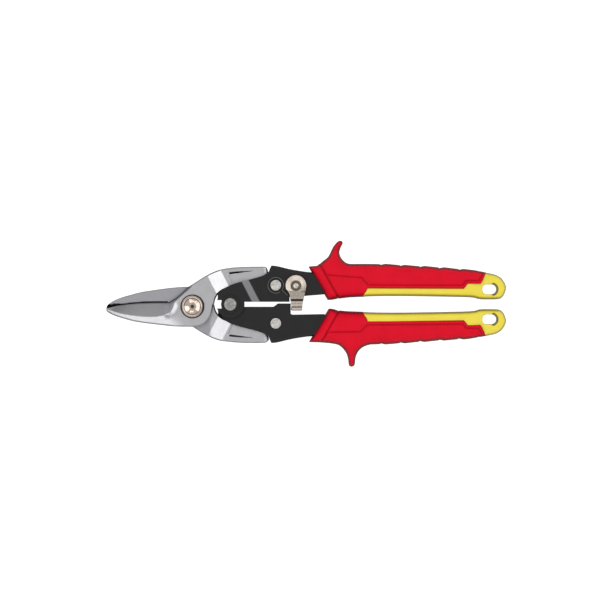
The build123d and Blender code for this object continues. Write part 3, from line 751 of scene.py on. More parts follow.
def jaw_outer(x, y, side, face, line_pts, edge_pts):
    """Height of a jaw's outer face: a ground bevel down to the cutting edge and,
    behind it, a slope that runs up to the flat hub. face is the hub's height."""
    to_grind = distance(x, y, curve(line_pts, 1.0))
    to_edge = distance(x, y, curve(edge_pts, 1.0))
    t = to_grind / (to_grind + to_edge + 0.05)
    lip = LIP + (face - LAND - LIP) * smooth(-17, -11.5, x)
    fades = smooth(-19, -15, x) * (1 - smooth(-1.0, 3.5, side * y))
    high = face - SHOULDER_FALL * SHOULDER**2 * fades
    bevel = high - (high - lip) * (0.85 * t + 0.15 * t * t)
    falls = 0.23 + 0.05 * (1 - smooth(-54, -38, x))
    straight = np.array([point for point in line_pts if point[0] <= -20])
    behind = np.clip(side * (np.interp(x, straight[:, 0], straight[:, 1]) - y), 0, None)
    slope = face - falls * behind * (1 - smooth(-18, -5.5, x))
    slope = slope - SHOULDER_FALL * np.clip(SHOULDER - to_grind, 0, None) ** 2 * fades
    bevel = bevel - 0.9 * np.clip(0.8 - to_edge, 0, 0.8) * (1 - smooth(-16, -14, x))
    return np.where(on_bevel(x, y, side, line_pts), bevel, slope)


PANEL_START = ((25.6, 12.6), (22.6, 20.0))
PANEL_EDGE = ((24.0, 20.1), (41.5, 21.9))
SLOT_HALF = 0.75  # half width of a tail's slot at its wide end
TAPER_RUN = 18


def tail_slot(x, y, side):
    """Depth of the tapering slot along a tail's panel."""
    wide = SLOT_HALF * np.clip((42.5 - x) / TAPER_RUN, 0, 1) * smooth(23.6, 24.4, x)
    return np.clip(wide - np.abs(side_of(x, side * y, *PANEL_EDGE)), 0, None) * 2.0


def tail_panel(x, y, side):
    """Depth of the shallow panel pressed into a tail, with its slot."""
    start = side_of(x, side * y, *PANEL_START)
    edge = side_of(x, side * y, *PANEL_EDGE)
    panel = 0.45 * np.clip((44 - x) / TAPER_RUN, 0, 1) * smooth(0.0, 0.5, -start) * smooth(0.0, 0.4, -edge)
    return np.maximum(panel, tail_slot(x, y, side))


def seat(x, y):
    """Shallow counterbore round the bolt's head."""
    r = np.hypot(x - PIVOT.x, y - PIVOT.y)
    return 1.6 * (1 - smooth(SEAT_R - 0.1, SEAT_R + 0.08, r))


def end_chamfer(x, y, side):
    """Depth of the slope across a tail's end."""
    slope = side_of(x, side * y, (47.4, 10.0), (46.0, 30.0))
    return np.clip(-slope, 0, 4) * 0.28


def blade_features(side):
    """Lines where a blade needs close points: folds, panel, slot and end."""
    ahead, aside, reach = math.cos(FOLD_TURN), math.sin(FOLD_TURN), 16
    lines = []
    for along in (FOLD_START, FOLD_START + FOLD_RUN):
        x, y = along * ahead, along * aside + PIVOT.y * side
        lines.append([(x - reach * aside, y + reach * ahead), (x + reach * aside, y - reach * ahead)])
    lines += [[(22.3, 20.7), (25.8, 12.2)], [(46.4, 24.5), (46.7, 19)]]
    lines += [[(23.6, 20.06 + off), (42.5, 22.0)] for off in (-SLOT_HALF, -0.3, 0.3, SLOT_HALF)]
    return [on_side(line(a, b, 0.6), side) for a, b in lines]


def chamfer(d, width, rise=0.85):
    """Depth of a flat chamfer at distance d from an edge, softened at its top."""
    t = np.clip(width - d, 0, width)
    return rise * t * smooth(-0.02, 0.25, t / width)


def forge(name, loops, top, bottom, features, finish_and_shade):
    """One blade, with points close enough for its chamfers."""
    return relief(
        name, loops, top, bottom, finish("blade"), rings=[0.08, 0.25, 0.5, 0.8, 1.1], grid=0.9,
        features=features, finish_and_shade=finish_and_shade, sharp=28,
    )


def make_front_blade(sizes):
    edge = sizes.blade_edge / MM

    def top(x, y, d):
        tail = fold_level(x, y, 1, FRONT_FACE, TAIL_TOP)
        jaw = jaw_outer(x, y, 1, FRONT_FACE, GRIND_LINE, LOWER_EDGE)
        z = np.where(x < JAW_END, jaw, tail)
        z = z - tail_panel(x, y, 1) - end_chamfer(x, y, 1) - seat(x, y)
        cutting = distance(x, y, curve(LOWER_EDGE, 1.0)) < LAND
        return z - np.where(cutting, 0.0, chamfer(d, edge, np.where(x < -10, 0.5, 0.8)))

    def bottom(x, y, d):
        z = fold_level(x, y, 1, 0.0, TAIL_BACK)
        return z + np.where(x < -2, 0.03, 0.3) * (1 - rounded(d, 0.3))

    def finish_and_shade(x, y, upper):
        if not upper:
            return np.where(x < 12, 0.0, 0.5)
        shoulder = 1 - smooth(2.5, 5.5, distance(x, y, curve(GRIND_LINE, 1.0)))
        back = np.maximum(1 - smooth(-16, -9.5, x), shoulder * (1 - smooth(-1, 3, y)))
        step = distance(x, y, curve(LOWER_EDGE[-7:], 1.0))
        # The ground bevel is drawn darker, more so near the hub; a painted shadow runs along the step
        # above the jaw, and a painted dark line of gap shade along the cutting edge.
        scale = np.where(x > -15.5, -0.25 - 0.6 * (1 - smooth(0.3, 1.1, step)), -0.14)
        scale = scale - 0.5 * (distance(x, y, curve(CUTTING_LINE, 1.0)) < 0.3)
        outer = 0.5 + 0.5 * np.maximum(back, fold_part(x, y, 1))
        plain = np.where(on_bevel(x, y, 1, GRIND_LINE), scale, outer)
        # painted shade in the tail's tapering slot
        slot_shade = smooth(0.02, 0.4, tail_slot(x, y, 1))
        plain = plain * (1 - slot_shade) - slot_shade
        # painted shadow, near black, in the counterbore round the bolt's head
        return np.where(np.hypot(x - PIVOT.x, y - PIVOT.y) < SEAT_R + 0.02, -1.0, plain)

    loops = [front_blade_loop(), circle(PIVOT, BOLT_HOLE_R), circle(UPPER_TAIL, 2.65)]
    features = blade_features(1) + [curve(GRIND_LINE[1:], 0.6), circle(PIVOT, SEAT_R, 0.5)]
    made = forge("front_blade_forging", loops, top, bottom, features, finish_and_shade)
    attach(made, "front_blade")
    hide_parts("front_blade")


def relief_cut(x, y):
    """Depth of the relief in the rear jaw's face beside the cutting line. It
    widens towards the tip."""
    cut = distance(x, y, curve(CUTTING_LINE, 1.0))
    wide = 0.62 + 1.7 * np.clip((-46 - x) / 9, 0, 1)
    return np.clip(1.6 * (wide - cut), 0, 0.9) * (x < -13)


def make_rear_blade(sizes):
    edge = sizes.blade_edge / MM
    back_grind = [(x, -y - 2.4) for x, y in GRIND_LINE]

    def top(x, y, d):
        z = fold_level(x, y, -1, 0.0, TAIL_TOP)
        z = z - tail_panel(x, y, -1) - end_chamfer(x, y, -1) - relief_cut(x, y)
        jaw = (x < 8) & (y > -13)
        return z - np.where(jaw, chamfer(d, 0.45), chamfer(d, edge))

    def bottom(x, y, d):
        jaw = -jaw_outer(x, y, -1, -REAR_FACE, back_grind, UPPER_EDGE)
        tail = fold_level(x, y, -1, REAR_FACE, TAIL_BACK)
        cutting = distance(x, y, curve(UPPER_EDGE, 1.0)) < LAND
        return np.where(x < JAW_END, jaw, tail) + chamfer(d, edge) * np.where(cutting, 0, 1)

    def finish_and_shade(x, y, upper):
        fold = 0.5 + 0.5 * fold_part(x, y, -1)
        if upper:
            # painted shade, near black, in the relief beside the cutting line, where the front blade's
            # edge shades it
            flat = np.where(relief_cut(x, y) > 0.1, -1.0, fold * smooth(10, 13, x))
            # painted shade in the tail's tapering slot
            slot_shade = smooth(0.02, 0.4, tail_slot(x, y, -1))
            return flat * (1 - slot_shade) - 0.8 * slot_shade
        back = np.maximum(fold, 1 - 0.5 * smooth(-16, -10, x))
        return np.where(on_bevel(x, y, -1, back_grind), 0.0, back)

    loops = [rear_blade_loop(), circle(PIVOT, BOLT_HOLE_R + BLADE_FIT), circle(LOWER_TAIL, 3.05)]
    features = blade_features(-1) + [curve(back_grind[1:], 0.6), curve(CUTTING_LINE, 0.5)]
    made = forge("rear_blade_forging", loops, top, bottom, features, finish_and_shade)
    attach(made, "rear_blade")
    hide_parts("rear_blade")


# ------------------------------------------------------------------ fasteners


def quarter(r0, z0, r1, z1, steps=5):
    """Quarter round from a point going outwards to a point going down."""
    out = []
    for i in range(steps + 1):
        a = math.radians(90 * i / steps)
        out.append((r0 + (r1 - r0) * math.sin(a), z1 + (z0 - z1) * math.cos(a)))
    return out


BOLT_HEAD_R = 7.2


def make_pivot_bolt():
    """Bolt with a dished head: a dimple, a cone, a flat land and a round rim."""
    low, high = levels("pivot_bolt")
    profile = [(0, high - 2.5), (0.5, high - 2.4), (0.9, high - 2.1), (1.15, high - 1.85)]
    profile += [(3.0, high - 1.3), (4.95, high - 0.75), (5.2, high - 0.65), (5.35, high - 0.2)]
    under = FRONT_FACE - 1.55
    profile += [(5.5, high - 0.05)] + quarter(5.75, high, BOLT_HEAD_R, high - 1.7, 9)
    profile += [(BOLT_HEAD_R, under), (BOLT_HOLE_R, under), (BOLT_HOLE_R, low + 0.4)]
    profile += [(BOLT_HOLE_R - 0.4, low), (0, low)]

    # painted shade in the dimple, at the step down to the land and on the rim's outer edge
    def painted_shade_at(r, z):
        return 0.9 if r < 0.95 or abs(r - 5.25) < 0.2 or r > BOLT_HEAD_R - 0.2 else 0.0

    made = lathe("pivot_bolt_turned", PIVOT, profile, finish("turned"), 96, painted_shade_at=painted_shade_at)
    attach(made, "front_blade")
    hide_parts("pivot_bolt")


def rivet_profile(shank, head, low, base_low, base_high, high, dip):
    """A headed rivet, from the front middle round to the back middle."""
    drop = (high - base_high) * 0.85
    profile = [(0, high - dip), (head * 0.3, high - dip * 0.9), (head * 0.55, high - dip * 0.3)]
    profile += [(head * 0.72, high - 0.02)] + quarter(head * 0.88, high, head, high - drop, 5)
    profile += [(head, base_high), (shank, base_high), (shank, base_low), (head, base_low)]
    profile += [(head, low + drop), (head * 0.93, low + drop * 0.4), (head * 0.8, low), (0, low)]
    return profile


def make_rivets():
    """The three steel rivets, each with a pressed dip in its head."""
    plan = (
        ("handle_rivet", JOINT, 3.1, 4.2, WASHER_FRONT, 0.12, "rivet_dark", "upper_handle"),
        ("upper_blade_rivet", UPPER_TAIL, 2.6, 3.65, PLATE_FRONT, 0.15, "rivet", "upper_handle"),
        ("lower_blade_rivet", LOWER_TAIL, 2.6, 3.65, PLATE_FRONT, 0.15, "rivet", "lower_handle"),
    )
    for node, centre, shank, head, seat_at, dip, key, body in plan:
        low, high = levels(node)
        profile = rivet_profile(shank, head, low, -seat_at, seat_at, high, dip)
        # painted shadow round the side of each head's rim
        made = lathe(
            node + "_headed", centre, profile, finish(key), painted_shade_at=lambda r, z: float(r > head * 0.99)
        )
        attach(made, body)
        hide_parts(node)


def make_latch_rivet():
    """The latch's domed rivet, nickel plated like the latch."""
    low, high = levels("latch_rivet")
    face = LATCH_FRONT + 0.05
    profile = [(0, high), (1.5, high - 0.38), (1.8, high - 0.55), (2.05, high - 0.85)]
    profile += [(2.15, face + 0.1), (2.6, face + 0.1), (2.8, face + 0.1), (2.9, face + 0.02), (2.9, face)]
    profile += [(1.9, face), (1.9, low + 1.2), (2.9, low + 1.2), (2.9, low + 0.3), (2.6, low), (0, low)]
    # painted shade on the flange round the dome
    made = lathe(
        "latch_rivet_headed", LATCH_PIVOT, profile, finish("stamped"),
        painted_shade_at=lambda r, z: 0.75 if r > 2.0 else 0.0,
    )
    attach(made, "upper_handle")
    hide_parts("latch_rivet")


# ------------------------------------------------------------------ latch


LATCH_RIBS = ((0.45, 0.4), (-1.75, 1.0), (-3.55, 0.5))  # Y of each groove across the foot, and a weight for its depth and for its painted shade
LATCH_SHEET = 1.5
LATCH_FOOT_FRONT = PLATE_FRONT + 0.25 + LATCH_SHEET
LATCH_DISC_R = 6.9
LATCH_HOLLOW_R = 3.4  # round the rivet
LATCH_TAB_Y = LATCH_PIVOT.y - 14.7
TAB_HALF = 0.9
DISC_END, STEP_START, STEP_END = (LATCH_PIVOT.y - down for down in (3.5, 8.5, 9.7))


def make_latch():
    """Latch plate: a disc with a raised boss, a neck that steps down, and a
    ribbed foot."""
    cx, cy = LATCH_PIVOT.x, LATCH_PIVOT.y

    def sheet(y):
        neck = np.clip((DISC_END - y) / 4.9, 0, 1) * 0.3
        step = smooth(STEP_START, cy - 10.0, y)
        return LATCH_FRONT - neck + (LATCH_FOOT_FRONT - LATCH_FRONT + 0.3) * step

    def top(x, y, d):
        r = np.hypot(x - cx, y - cy)
        z = sheet(y)
        disc = (y > DISC_END) | (r < LATCH_HOLLOW_R)
        z = z - 0.2 * np.clip(r - LATCH_HOLLOW_R, 0, 3) * disc
        z = z - 0.35 * (1 - smooth(2.9, LATCH_HOLLOW_R, r))
        for rib, deep in LATCH_RIBS:
            z = z - 0.35 * deep * np.exp(-(((y - rib) / 0.4) ** 2))
        return z - 0.45 * (1 - rounded(d, 0.45))

    def bottom(x, y, d):
        return sheet(y) - LATCH_SHEET + 0.3 * (1 - rounded(d, 0.3))

    def worked_and_shaded(x, y, upper):
        if not upper:
            return np.zeros(len(x))
        r = np.hypot(x - cx, y - cy)
        # painted shade: a dark band on the step down to the foot, a ring in the groove round the boss, the
        # neck sloping away, the disc's right side and a line in each groove of the foot
        latch_shade = 0.95 * smooth(cy - 10.2, cy - 9.8, y) * (1 - smooth(cy - 8.7, cy - 8.2, y))
        latch_shade += 0.6 * np.exp(-(((r - 3.1) / 0.4) ** 2))
        latch_shade += 0.2 * smooth(cy - 8.6, cy - 7, y) * (1 - smooth(cy - 3.9, cy - 3.2, y))
        latch_shade += 0.4 * smooth(cx + 2.5, cx + LATCH_DISC_R, x) * (y > cy - 4.5)
        for rib, deep in LATCH_RIBS:
            latch_shade += deep * np.exp(-(((y - rib) / 0.42) ** 2))
        return -np.clip(latch_shade, 0, 1)

    loop = arc((cx, cy), LATCH_DISC_R, 195, -18)
    loop += curve([(73.55, 9.8), (73.3, 8.2), (72.6, 6.0), (72.0, 3.6), (71.4, 0.8), (71.1, -1.4),
                   (71.0, -3.4)])
    loop += curve([(71.0, -3.4), (70.8, -3.9), (70.3, -4.1)], 0.3)
    loop += line((70.3, -4.1), (64.8, -4.1))
    loop += curve([(64.8, -4.1), (64.3, -3.9), (64.2, -3.4)], 0.3)
    loop += curve([(64.2, -3.4), (63.9, 0), (63.5, 2.5), (63.2, 4.0), (62.8, 6.4), (61.9, 8.2),
                   (60.9, 9.2), (60.4, 10.2)])
    bends = ((60, 74, DISC_END), (62, 73, STEP_START), (62, 73, STEP_END), (63, 72, -1.9))
    made = relief(
        "latch_stamping", [loop, circle((cx, cy), 1.95, 0.5)], top, bottom, finish("stamped"),
        rings=[0.07, 0.2, 0.45], grid=0.4, sharp=32, finish_and_shade=worked_and_shaded,
        features=[line((left, y), (right, y), 0.5) for left, right, y in bends],
    )
    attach(made, "latch")
    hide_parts("latch")


def make_latch_finger():
    """The tab behind the latch's foot that catches the lower handle."""
    left, bend, right = 63.85, 66.2, 68.2
    low, high = LATCH_TAB_Y - TAB_HALF, LATCH_TAB_Y + TAB_HALF
    joined = LATCH_FOOT_FRONT - LATCH_SHEET * 0.5
    corners = [(left, low), (right, low), (right, high), (left, high), (left, low)]
    made = relief(
        "latch_finger", [bent(corners, 0.4)],
        lambda x, y, d: np.where(x > bend, joined, 2.2) - 0.2 * (1 - rounded(d, 0.2)),
        lambda x, y, d: -1.0 + 0.2 * (1 - rounded(d, 0.2)),
        finish("stamped"), rings=[0.08, 0.2], grid=0.5, sharp=32,
        features=[line((bend, low), (bend, high), 0.3)],
    )
    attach(made, "latch")


# ------------------------------------------------------------------ springs


def make_torsion_spring():
    """The torsion spring round the handle pivot, with an arm in each handle."""
    wire, coil_r, turns, half, arm, lean = 0.65, 4.9, 2.5, 1.6, 21, 0.05
    path = [(JOINT.x + arm - i, -coil_r + lean * (arm - i), half) for i in range(arm)]
    steps = 60
    for i in range(steps + 1):
        a = -math.pi / 2 - 2 * math.pi * turns * i / steps
        z = half - 2 * half * i / steps
        path.append((JOINT.x + coil_r * math.cos(a), coil_r * math.sin(a), z))
    path += [(JOINT.x + i, coil_r - lean * i, -half) for i in range(1, arm + 1)]
    made = tube("handle_torsion_spring", path, wire, finish("spring"))
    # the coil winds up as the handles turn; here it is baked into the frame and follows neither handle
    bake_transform(made)
    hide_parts("handle_spring")


def make_latch_spring():
    """The latch's wire spring, a ring round the tail rivet with one arm."""
    level = PLATE_FRONT + 0.4
    ring_r = 5.1
    path = [(61.6 - 0.4 * k, 5.7 + 0.38 * k, level) for k in range(9)]
    for i in range(60):
        a = math.radians(-45 + 350 * i / 59)
        path.append((UPPER_TAIL.x + ring_r * math.cos(a), UPPER_TAIL.y + ring_r * math.sin(a), level))
    made = tube("latch_wire_spring", path, 0.38, finish("spring"), 12)
    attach(made, "upper_handle")
    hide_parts("latch_spring")


# ------------------------------------------------------------------ grips
# Each grip is drawn as if it were in the upper half, and turned to its side.

UPPER_BORDER = [(110.8, 4.8), (113.2, 10.2), (175.5, 10.0), (178.0, 13.3), (186.4, 13.3), (190.2, 20.55)]
LOWER_BORDER = [(110.8, 4.8), (113.4, 11.1), (130, 11.0), (175.5, 10.3), (178.0, 13.5), (186.2, 13.4),
                (190.2, 20.5)]
HANG_END = [(190.2, 20.55), (194.7, 19.7), (197.2, 18.8), (199.7, 17.3), (201.4, 15.3), (202.6, 13.1),
            (203.2, 10.6), (202.6, 8.1), (201.3, 5.3), (199.0, 3.5), (195.5, 3.1)]
INNER_EDGE = [(195.5, 3.1), (187.5, 3.1), (184.7, 3.5), (182, 4.2), (175, 4.6), (150, 5.1), (130, 5.3),
              (115, 5.1), (110.8, 4.8)]
UPPER_GUARD = [(81.5, 25.7), (83.0, 26.7), (85, 28.4), (87.5, 30.4), (88.9, 32.6), (90, 35), (91.2, 37.4),
               (92.6, 39.2), (94.0, 40.6), (95.6, 41.25), (96.9, 40.8), (97.3, 39.5), (96.4, 37.7),
               (95.5, 35.6), (95.1, 33.6), (95.6, 31.4), (96.8, 29.3), (98.4, 27.7), (100.2, 26.6),
               (102.5, 26.2), (108, 26.2), (115, 26.2)]
LOWER_GUARD = [(83.2, 24.8), (87.2, 25.1), (91.2, 25.6), (94.7, 26.5), (97.2, 28.5), (99.0, 30.7),
               (100.1, 33.0), (100.8, 35.8), (101.1, 38.4), (101.6, 39.9), (103.0, 40.45),
               (104.6, 39.9), (105.2, 38.3), (105.5, 35.4), (106.2, 32.8), (107.5, 30.4),
               (109.5, 28.4), (112, 27.0), (115, 26.1)]
UPPER_GRIP_BACK = [(115, 26.2), (122, 26.0), (130, 25.7), (140, 25.1), (151, 24.5), (164, 23.6),
                   (177, 22.5), (184, 21.9), (190.2, 20.6)]
LOWER_GRIP_BACK = [(115, 26.1), (122, 25.8), (130, 25.5), (140, 24.8), (150, 24.1), (160, 23.4),
                   (170, 22.8), (180, 22.1), (190.2, 20.6)]
UPPER_PAD = [(86.8, 18.9), (109.3, 17.1), (113.6, 12.4), (140, 12.2), (174.8, 12.2), (177.0, 15.2),
             (185.3, 15.2), (188.0, 20.4)]
LOWER_PAD = [(86.8, 17.9), (108.7, 17.6), (113.0, 13.2), (140, 13.0), (174.8, 12.6), (177.0, 15.4),
             (185.0, 15.4), (187.8, 20.2)]
UPPER_LOW = [(110.8, 4.8), (105, 4.6), (99.8, 4.25), (95.4, 3.7), (94.3, 3.9), (93.6, 3.55), (90.4, 2.9),
             (87.5, 2.75)]
LOWER_LOW = [(110.8, 4.8), (105, 4.6), (99.8, 4.4), (95.6, 4.0), (94.6, 4.2), (93.8, 3.85), (91.0, 3.0),
             (88.2, 2.75)]
UPPER_COLLAR = ((82.6, 25.6), (94.6, 4.0))
LOWER_COLLAR = ((83.4, 24.6), (94.8, 4.2))
SCALLOP_START, SCALLOP_END = 115.0, 188.0
PAD_START = 1.6  # of the raised pad behind the collar's back corner


def scallops(x, sizes):
    """Shallow steps along a grip's back, one after another towards the end."""
    pitch, depth = sizes.scallop_pitch / MM, sizes.scallop_depth / MM
    phase = ((x - 121.5) / pitch) % 1.0
    lift = smooth(0.0, 0.3, phase) * (1 - 0.55 * phase) - 0.45
    fade = smooth(SCALLOP_START, SCALLOP_START + 8, x) * (1 - smooth(SCALLOP_END - 6, SCALLOP_END, x))
    return lift * depth * fade


def back_edge(side, sizes):
    """A grip's back from the guard to the hang end, with its scallops."""
    pts = np.array(curve(UPPER_GRIP_BACK if side > 0 else LOWER_GRIP_BACK, 0.6))
    pts[:, 1] += scallops(pts[:, 0], sizes)
    return pts.tolist()


def cover_loop(side, sizes):
    """The red cover's outline: slanted front, guard, scalloped back, the border
    with the core, and the hand side."""
    if side > 0:
        front, guard, border, low = (75.2, 24.1), UPPER_GUARD, UPPER_BORDER, UPPER_LOW
        lip = [front, (75.7, 24.55), (80.8, 25.0)]
    else:
        front, guard, border, low = (75.6, 24.0), LOWER_GUARD, LOWER_BORDER, LOWER_LOW
        lip = [front, (75.9, 24.5), (82.4, 24.7)]
    pts = line(low[-1], front) + curve(lip, 0.5) + [lip[-1]] + curve(guard, 0.7)
    pts += back_edge(side, sizes) + bent(border[::-1]) + curve(low, 0.6)
    return on_side(pts, side)


def make_cover(side, sizes):
    """The soft red cover: crowned, with a collar, a guard, a raised pad with a
    crease round it, and finger scallops along the back."""
    upper = side > 0
    name = "upper" if upper else "lower"
    border = UPPER_BORDER if upper else LOWER_BORDER
    pad = UPPER_PAD if upper else LOWER_PAD
    collar = UPPER_COLLAR if upper else LOWER_COLLAR
    loop = cover_loop(side, sizes)
    border_line = bent(border, 1.0) + border[-1:]
    at_core = [distance(np.array([x]), np.array([side * y]), border_line)[0] < 0.3 for x, y in loop]
    first = next(i for i in range(len(loop)) if at_core[i - 1] and not at_core[i])
    turned = zip(on_side(loop[first:] + loop[:first], side), at_core[first:] + at_core[:first])
    rim = [point for point, joined in turned if not joined]
    pad_line = bent(pad, 0.7) + pad[-1:]
    pad_edge = collar[0][0] + PAD_START
    pad_loop = pad_line + [(190, 30), (130, 45), (80, 45), (pad_edge, 26), (pad_edge, 25)]
    crown, rise = sizes.grip_crown / MM, sizes.pad_rise / MM
    groove, width = sizes.groove_depth / MM, sizes.groove_width / MM

    def body(x, y, d):
        v = side * y
        outer = distance(x, v, rim)
        z = (GRIP_FRONT - rise) * rounded(outer, crown, 2.35)
        horn = smooth(26.5, 40, v) * smooth(80, 86, x) * (1 - smooth(112, 118, x))
        z = z * (1 - 0.3 * horn)
        across = side_of(x, v, *collar)
        z = z - groove * np.exp(-((across / width) ** 2)) * rounded(outer, 1.5)
        raised = np.where(inside(x, v, pad_loop), 1.0, -1.0) * distance(x, v, pad_line)
        beyond = across > 1.0
        z = z + rise * smooth(-0.25, 1.1, raised) * beyond * rounded(outer, 3.0)
        z = z - 0.22 * np.exp(-((raised / 0.45) ** 2)) * beyond * rounded(outer, 2.0)
        depth_in = smooth(0, 9, outer)
        z = z + scallops(x - 0.35 * (26 - v), sizes) * 0.55 * (1 - depth_in) * smooth(12.5, 16, v)
        edge = distance(x, v, border_line)
        return np.maximum(z - 0.8 * (1 - rounded(edge, 0.8)), 0.02)

    def worked_and_shaded(x, y, upper):
        # painted shade in the collar groove, in the crease round the pad and along the border with the
        # core
        v = side * y
        across = side_of(x, v, *collar)
        in_groove = 0.75 * np.exp(-((across / 0.45) ** 2))
        in_crease = 0.5 * np.exp(-((distance(x, v, pad_line) / 0.45) ** 2)) * (across > 1.0)
        at_border = 0.6 * np.exp(-((distance(x, v, border_line) / 0.4) ** 2))
        return -np.maximum(np.maximum(in_groove, in_crease), at_border)

    made = relief(
        f"{name}_grip_red_cover", [loop],
        body, lambda x, y, d: -np.minimum(body(x, y, d), GRIP_FRONT), finish("red"), finish_and_shade=worked_and_shaded,
        rings=[0.06, 0.2, 0.45, 0.8, 1.3, 2.0, 3.0, 4.3], grid=1.0, sharp=50,
        features=[line(*on_side(collar, side), 0.7), on_side(pad_line, side)],
    )
    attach(made, f"{name}_handle")
    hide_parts(f"{name}_grip_cover")


HANG_X, HANG_Y = 192.5, 9.7  # middle of the hang slot
HANG_HALF, HANG_CORNER = 3.15, 2.75
HANG_LEFT, HANG_RIGHT = HANG_X - 2.2, HANG_X + 1.0


def hang_slot():
    """The hang slot: a half round towards the end, and two corners before it."""
    rise = HANG_HALF - HANG_CORNER
    high, low = HANG_Y + rise, HANG_Y - rise
    top, bottom, left = HANG_Y + HANG_HALF, HANG_Y - HANG_HALF, HANG_LEFT - HANG_CORNER
    pts = arc((HANG_RIGHT, HANG_Y), HANG_HALF, -90, 90, 0.5)
    pts += line((HANG_RIGHT, top), (HANG_LEFT, top), 0.5)
    pts += arc((HANG_LEFT, high), HANG_CORNER, 90, 180, 0.5) + line((left, high), (left, low), 0.5)
    pts += arc((HANG_LEFT, low), HANG_CORNER, 180, 270, 0.5)
    return pts + line((HANG_LEFT, bottom), (HANG_RIGHT, bottom), 0.5)


def make_core(side):
    """The firm yellow core: a stripe along the hand side, and the hang end with
    its slot."""
    name = "upper" if side > 0 else "lower"
    border = UPPER_BORDER if side > 0 else LOWER_BORDER
    under = 0.9  # how far the core runs on beneath the cover
    hidden = [(border[0][0] - 0.6, border[0][1] + 0.1), (border[1][0] - 1.2, border[1][1] + under)]
    hidden += [(x, y + under) for x, y in border[2:-3]]
    hidden += [(x - 0.7, y + under) for x, y in border[-3:-1]]
    hidden += [(border[-1][0] - 1.2, border[-1][1] - 0.3)]
    loop = curve(HANG_END, 0.6) + curve(INNER_EDGE, 0.8) + bent(hidden)
    loop = on_side(loop + line(hidden[-1], HANG_END[0], 0.5), side)
    edge_line = curve(HANG_END, 0.8) + curve(INNER_EDGE, 1.0) + INNER_EDGE[-1:]
    slot = on_side(hang_slot(), side)
    border_line = bent(border, 1.0) + border[-1:]
    red_side = border_line + [(190, 40), (80, 40), (80, 4.9)]

    def body(x, y, d):
        v = side * y
        outer = distance(x, v, edge_line)
        hole = distance(x, y, slot, True)
        z = (CORE_FRONT + 0.35) * rounded(outer, 3.2, 2.4)
        z = z - 1.1 * smooth(178, 187, x)
        z = z - 0.7 * (1 - rounded(hole, 0.9))
        z = z - 5.5 * (1 - smooth(0.0, 1.25, hole)) * smooth(HANG_X + 0.6, HANG_X + 3.2, x)
        into = np.where(inside(x, v, red_side), distance(x, v, border_line), 0)
        z = z - 1.2 * smooth(0.05, 0.8, into)
        return np.maximum(z, 0.02)

    made = relief(
        f"{name}_grip_yellow_core", [loop, slot],
        body, lambda x, y, d: -body(x, y, d), finish("yellow"),
        rings=[0.06, 0.2, 0.45, 0.8, 1.3, 2.0, 3.0], grid=1.0, sharp=50,
    )
    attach(made, f"{name}_handle")
    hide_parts(f"{name}_grip_core")


# ------------------------------------------------------------------ stage


def make_camera():
    """A long lens straight above the tool, so that nothing leans."""
    data = bpy.data.cameras.new("camera")
    data.lens = 250
    data.sensor_width = 36
    made = bpy.data.objects.new("camera", data)
    view_width = 393.4  # at the height of the handles' plates
    away = view_width * data.lens / data.sensor_width
    made.location = to_frame(72.2, 0.2, 4.0 + away)
    data.clip_end = 100
    bpy.context.scene.collection.objects.link(made)
    bpy.context.scene.camera = made


def make_light(name, azimuth, zenith, size, radiance):
    """A softbox aimed at the tool, by its bearing and its angle off the zenith."""
    away = 1300
    a, b = math.radians(azimuth), math.radians(zenith)
    aim = Vector((math.cos(a) * math.sin(b), math.sin(a) * math.sin(b), math.cos(b)))
    data = bpy.data.lights.new(name, "AREA")
    data.shape = "RECTANGLE"
    data.size, data.size_y = size
    data.energy = radiance * math.pi * size[0] * size[1]
    made = bpy.data.objects.new(name, data)
    made.location = to_frame(40, 0, 0) + aim * away * MM
    made.rotation_euler = aim.to_track_quat("Z", "Y").to_euler()
    made.visible_camera = False
    bpy.context.scene.collection.objects.link(made)


SKY = ((0.45, 0.6), (0.8, 0.76))  # height and grey between horizon and zenith
SKY_HORIZON, SKY_ZENITH = 0.04, 0.61
SOFTBOXES = (
    ("softbox_right", 22, 31, (0.6, 0.5), 1.65),
    ("softbox_left", 178, 30, (0.95, 0.45), 1.32),
    ("softbox_below", -106, 27, (0.98, 0.36), 1.15),
    ("softbox_above", 90, 27, (0.5, 0.3), 1.35),
)


def make_floor(colours):
    finished, tree, place = start_material("opal_acrylic_lit_from_behind")
    # the acrylic's faint cast texture, 2 mm across
    base = tint(tree, marks(tree, place, 2.0, 2.0), colours.floor, 0.98, 1.0)
    lit = {"Emission Color": (1, 1, 1, 1), "Emission Strength": 1.0}
    end_material(tree, {"Roughness": 0.9, "Specular IOR Level": 0.1, **lit}, {"Base Color": base})
    mesh = bpy.data.meshes.new("floor")
    reach, low = 3.0, CAD_BOX[0][2]
    corners = [(x * reach, y * reach, low) for x, y in ((-1, -1), (1, -1), (1, 1), (-1, 1))]
    mesh.from_pydata(corners, [], [(0, 1, 2, 3)])
    mesh.materials.append(finished)
    floor = bpy.data.objects.new("floor", mesh)
    bpy.context.scene.collection.objects.link(floor)


def make_sky():
    """A studio ceiling that is brightest half way up the sky."""
    world = bpy.data.worlds.new("studio")
    world.use_nodes = True
    tree = world.node_tree
    heading = add_node(tree, "ShaderNodeTexCoord")
    split = add_node(tree, "ShaderNodeSeparateXYZ", links={"Vector": (heading, "Generated")})
    sky = add_node(tree, "ShaderNodeValToRGB", links={"Fac": (split, "Z")})
    stops = sky.color_ramp.elements
    stops[0].color = (SKY_HORIZON, SKY_HORIZON, SKY_HORIZON, 1)
    stops[1].color = (SKY_ZENITH, SKY_ZENITH, SKY_ZENITH, 1)
    for height, grey in SKY:
        stops.new(height).color = (grey, grey, grey, 1)
    tree.links.new(sky.outputs["Color"], tree.nodes["Background"].inputs["Color"])
    bpy.context.scene.world = world


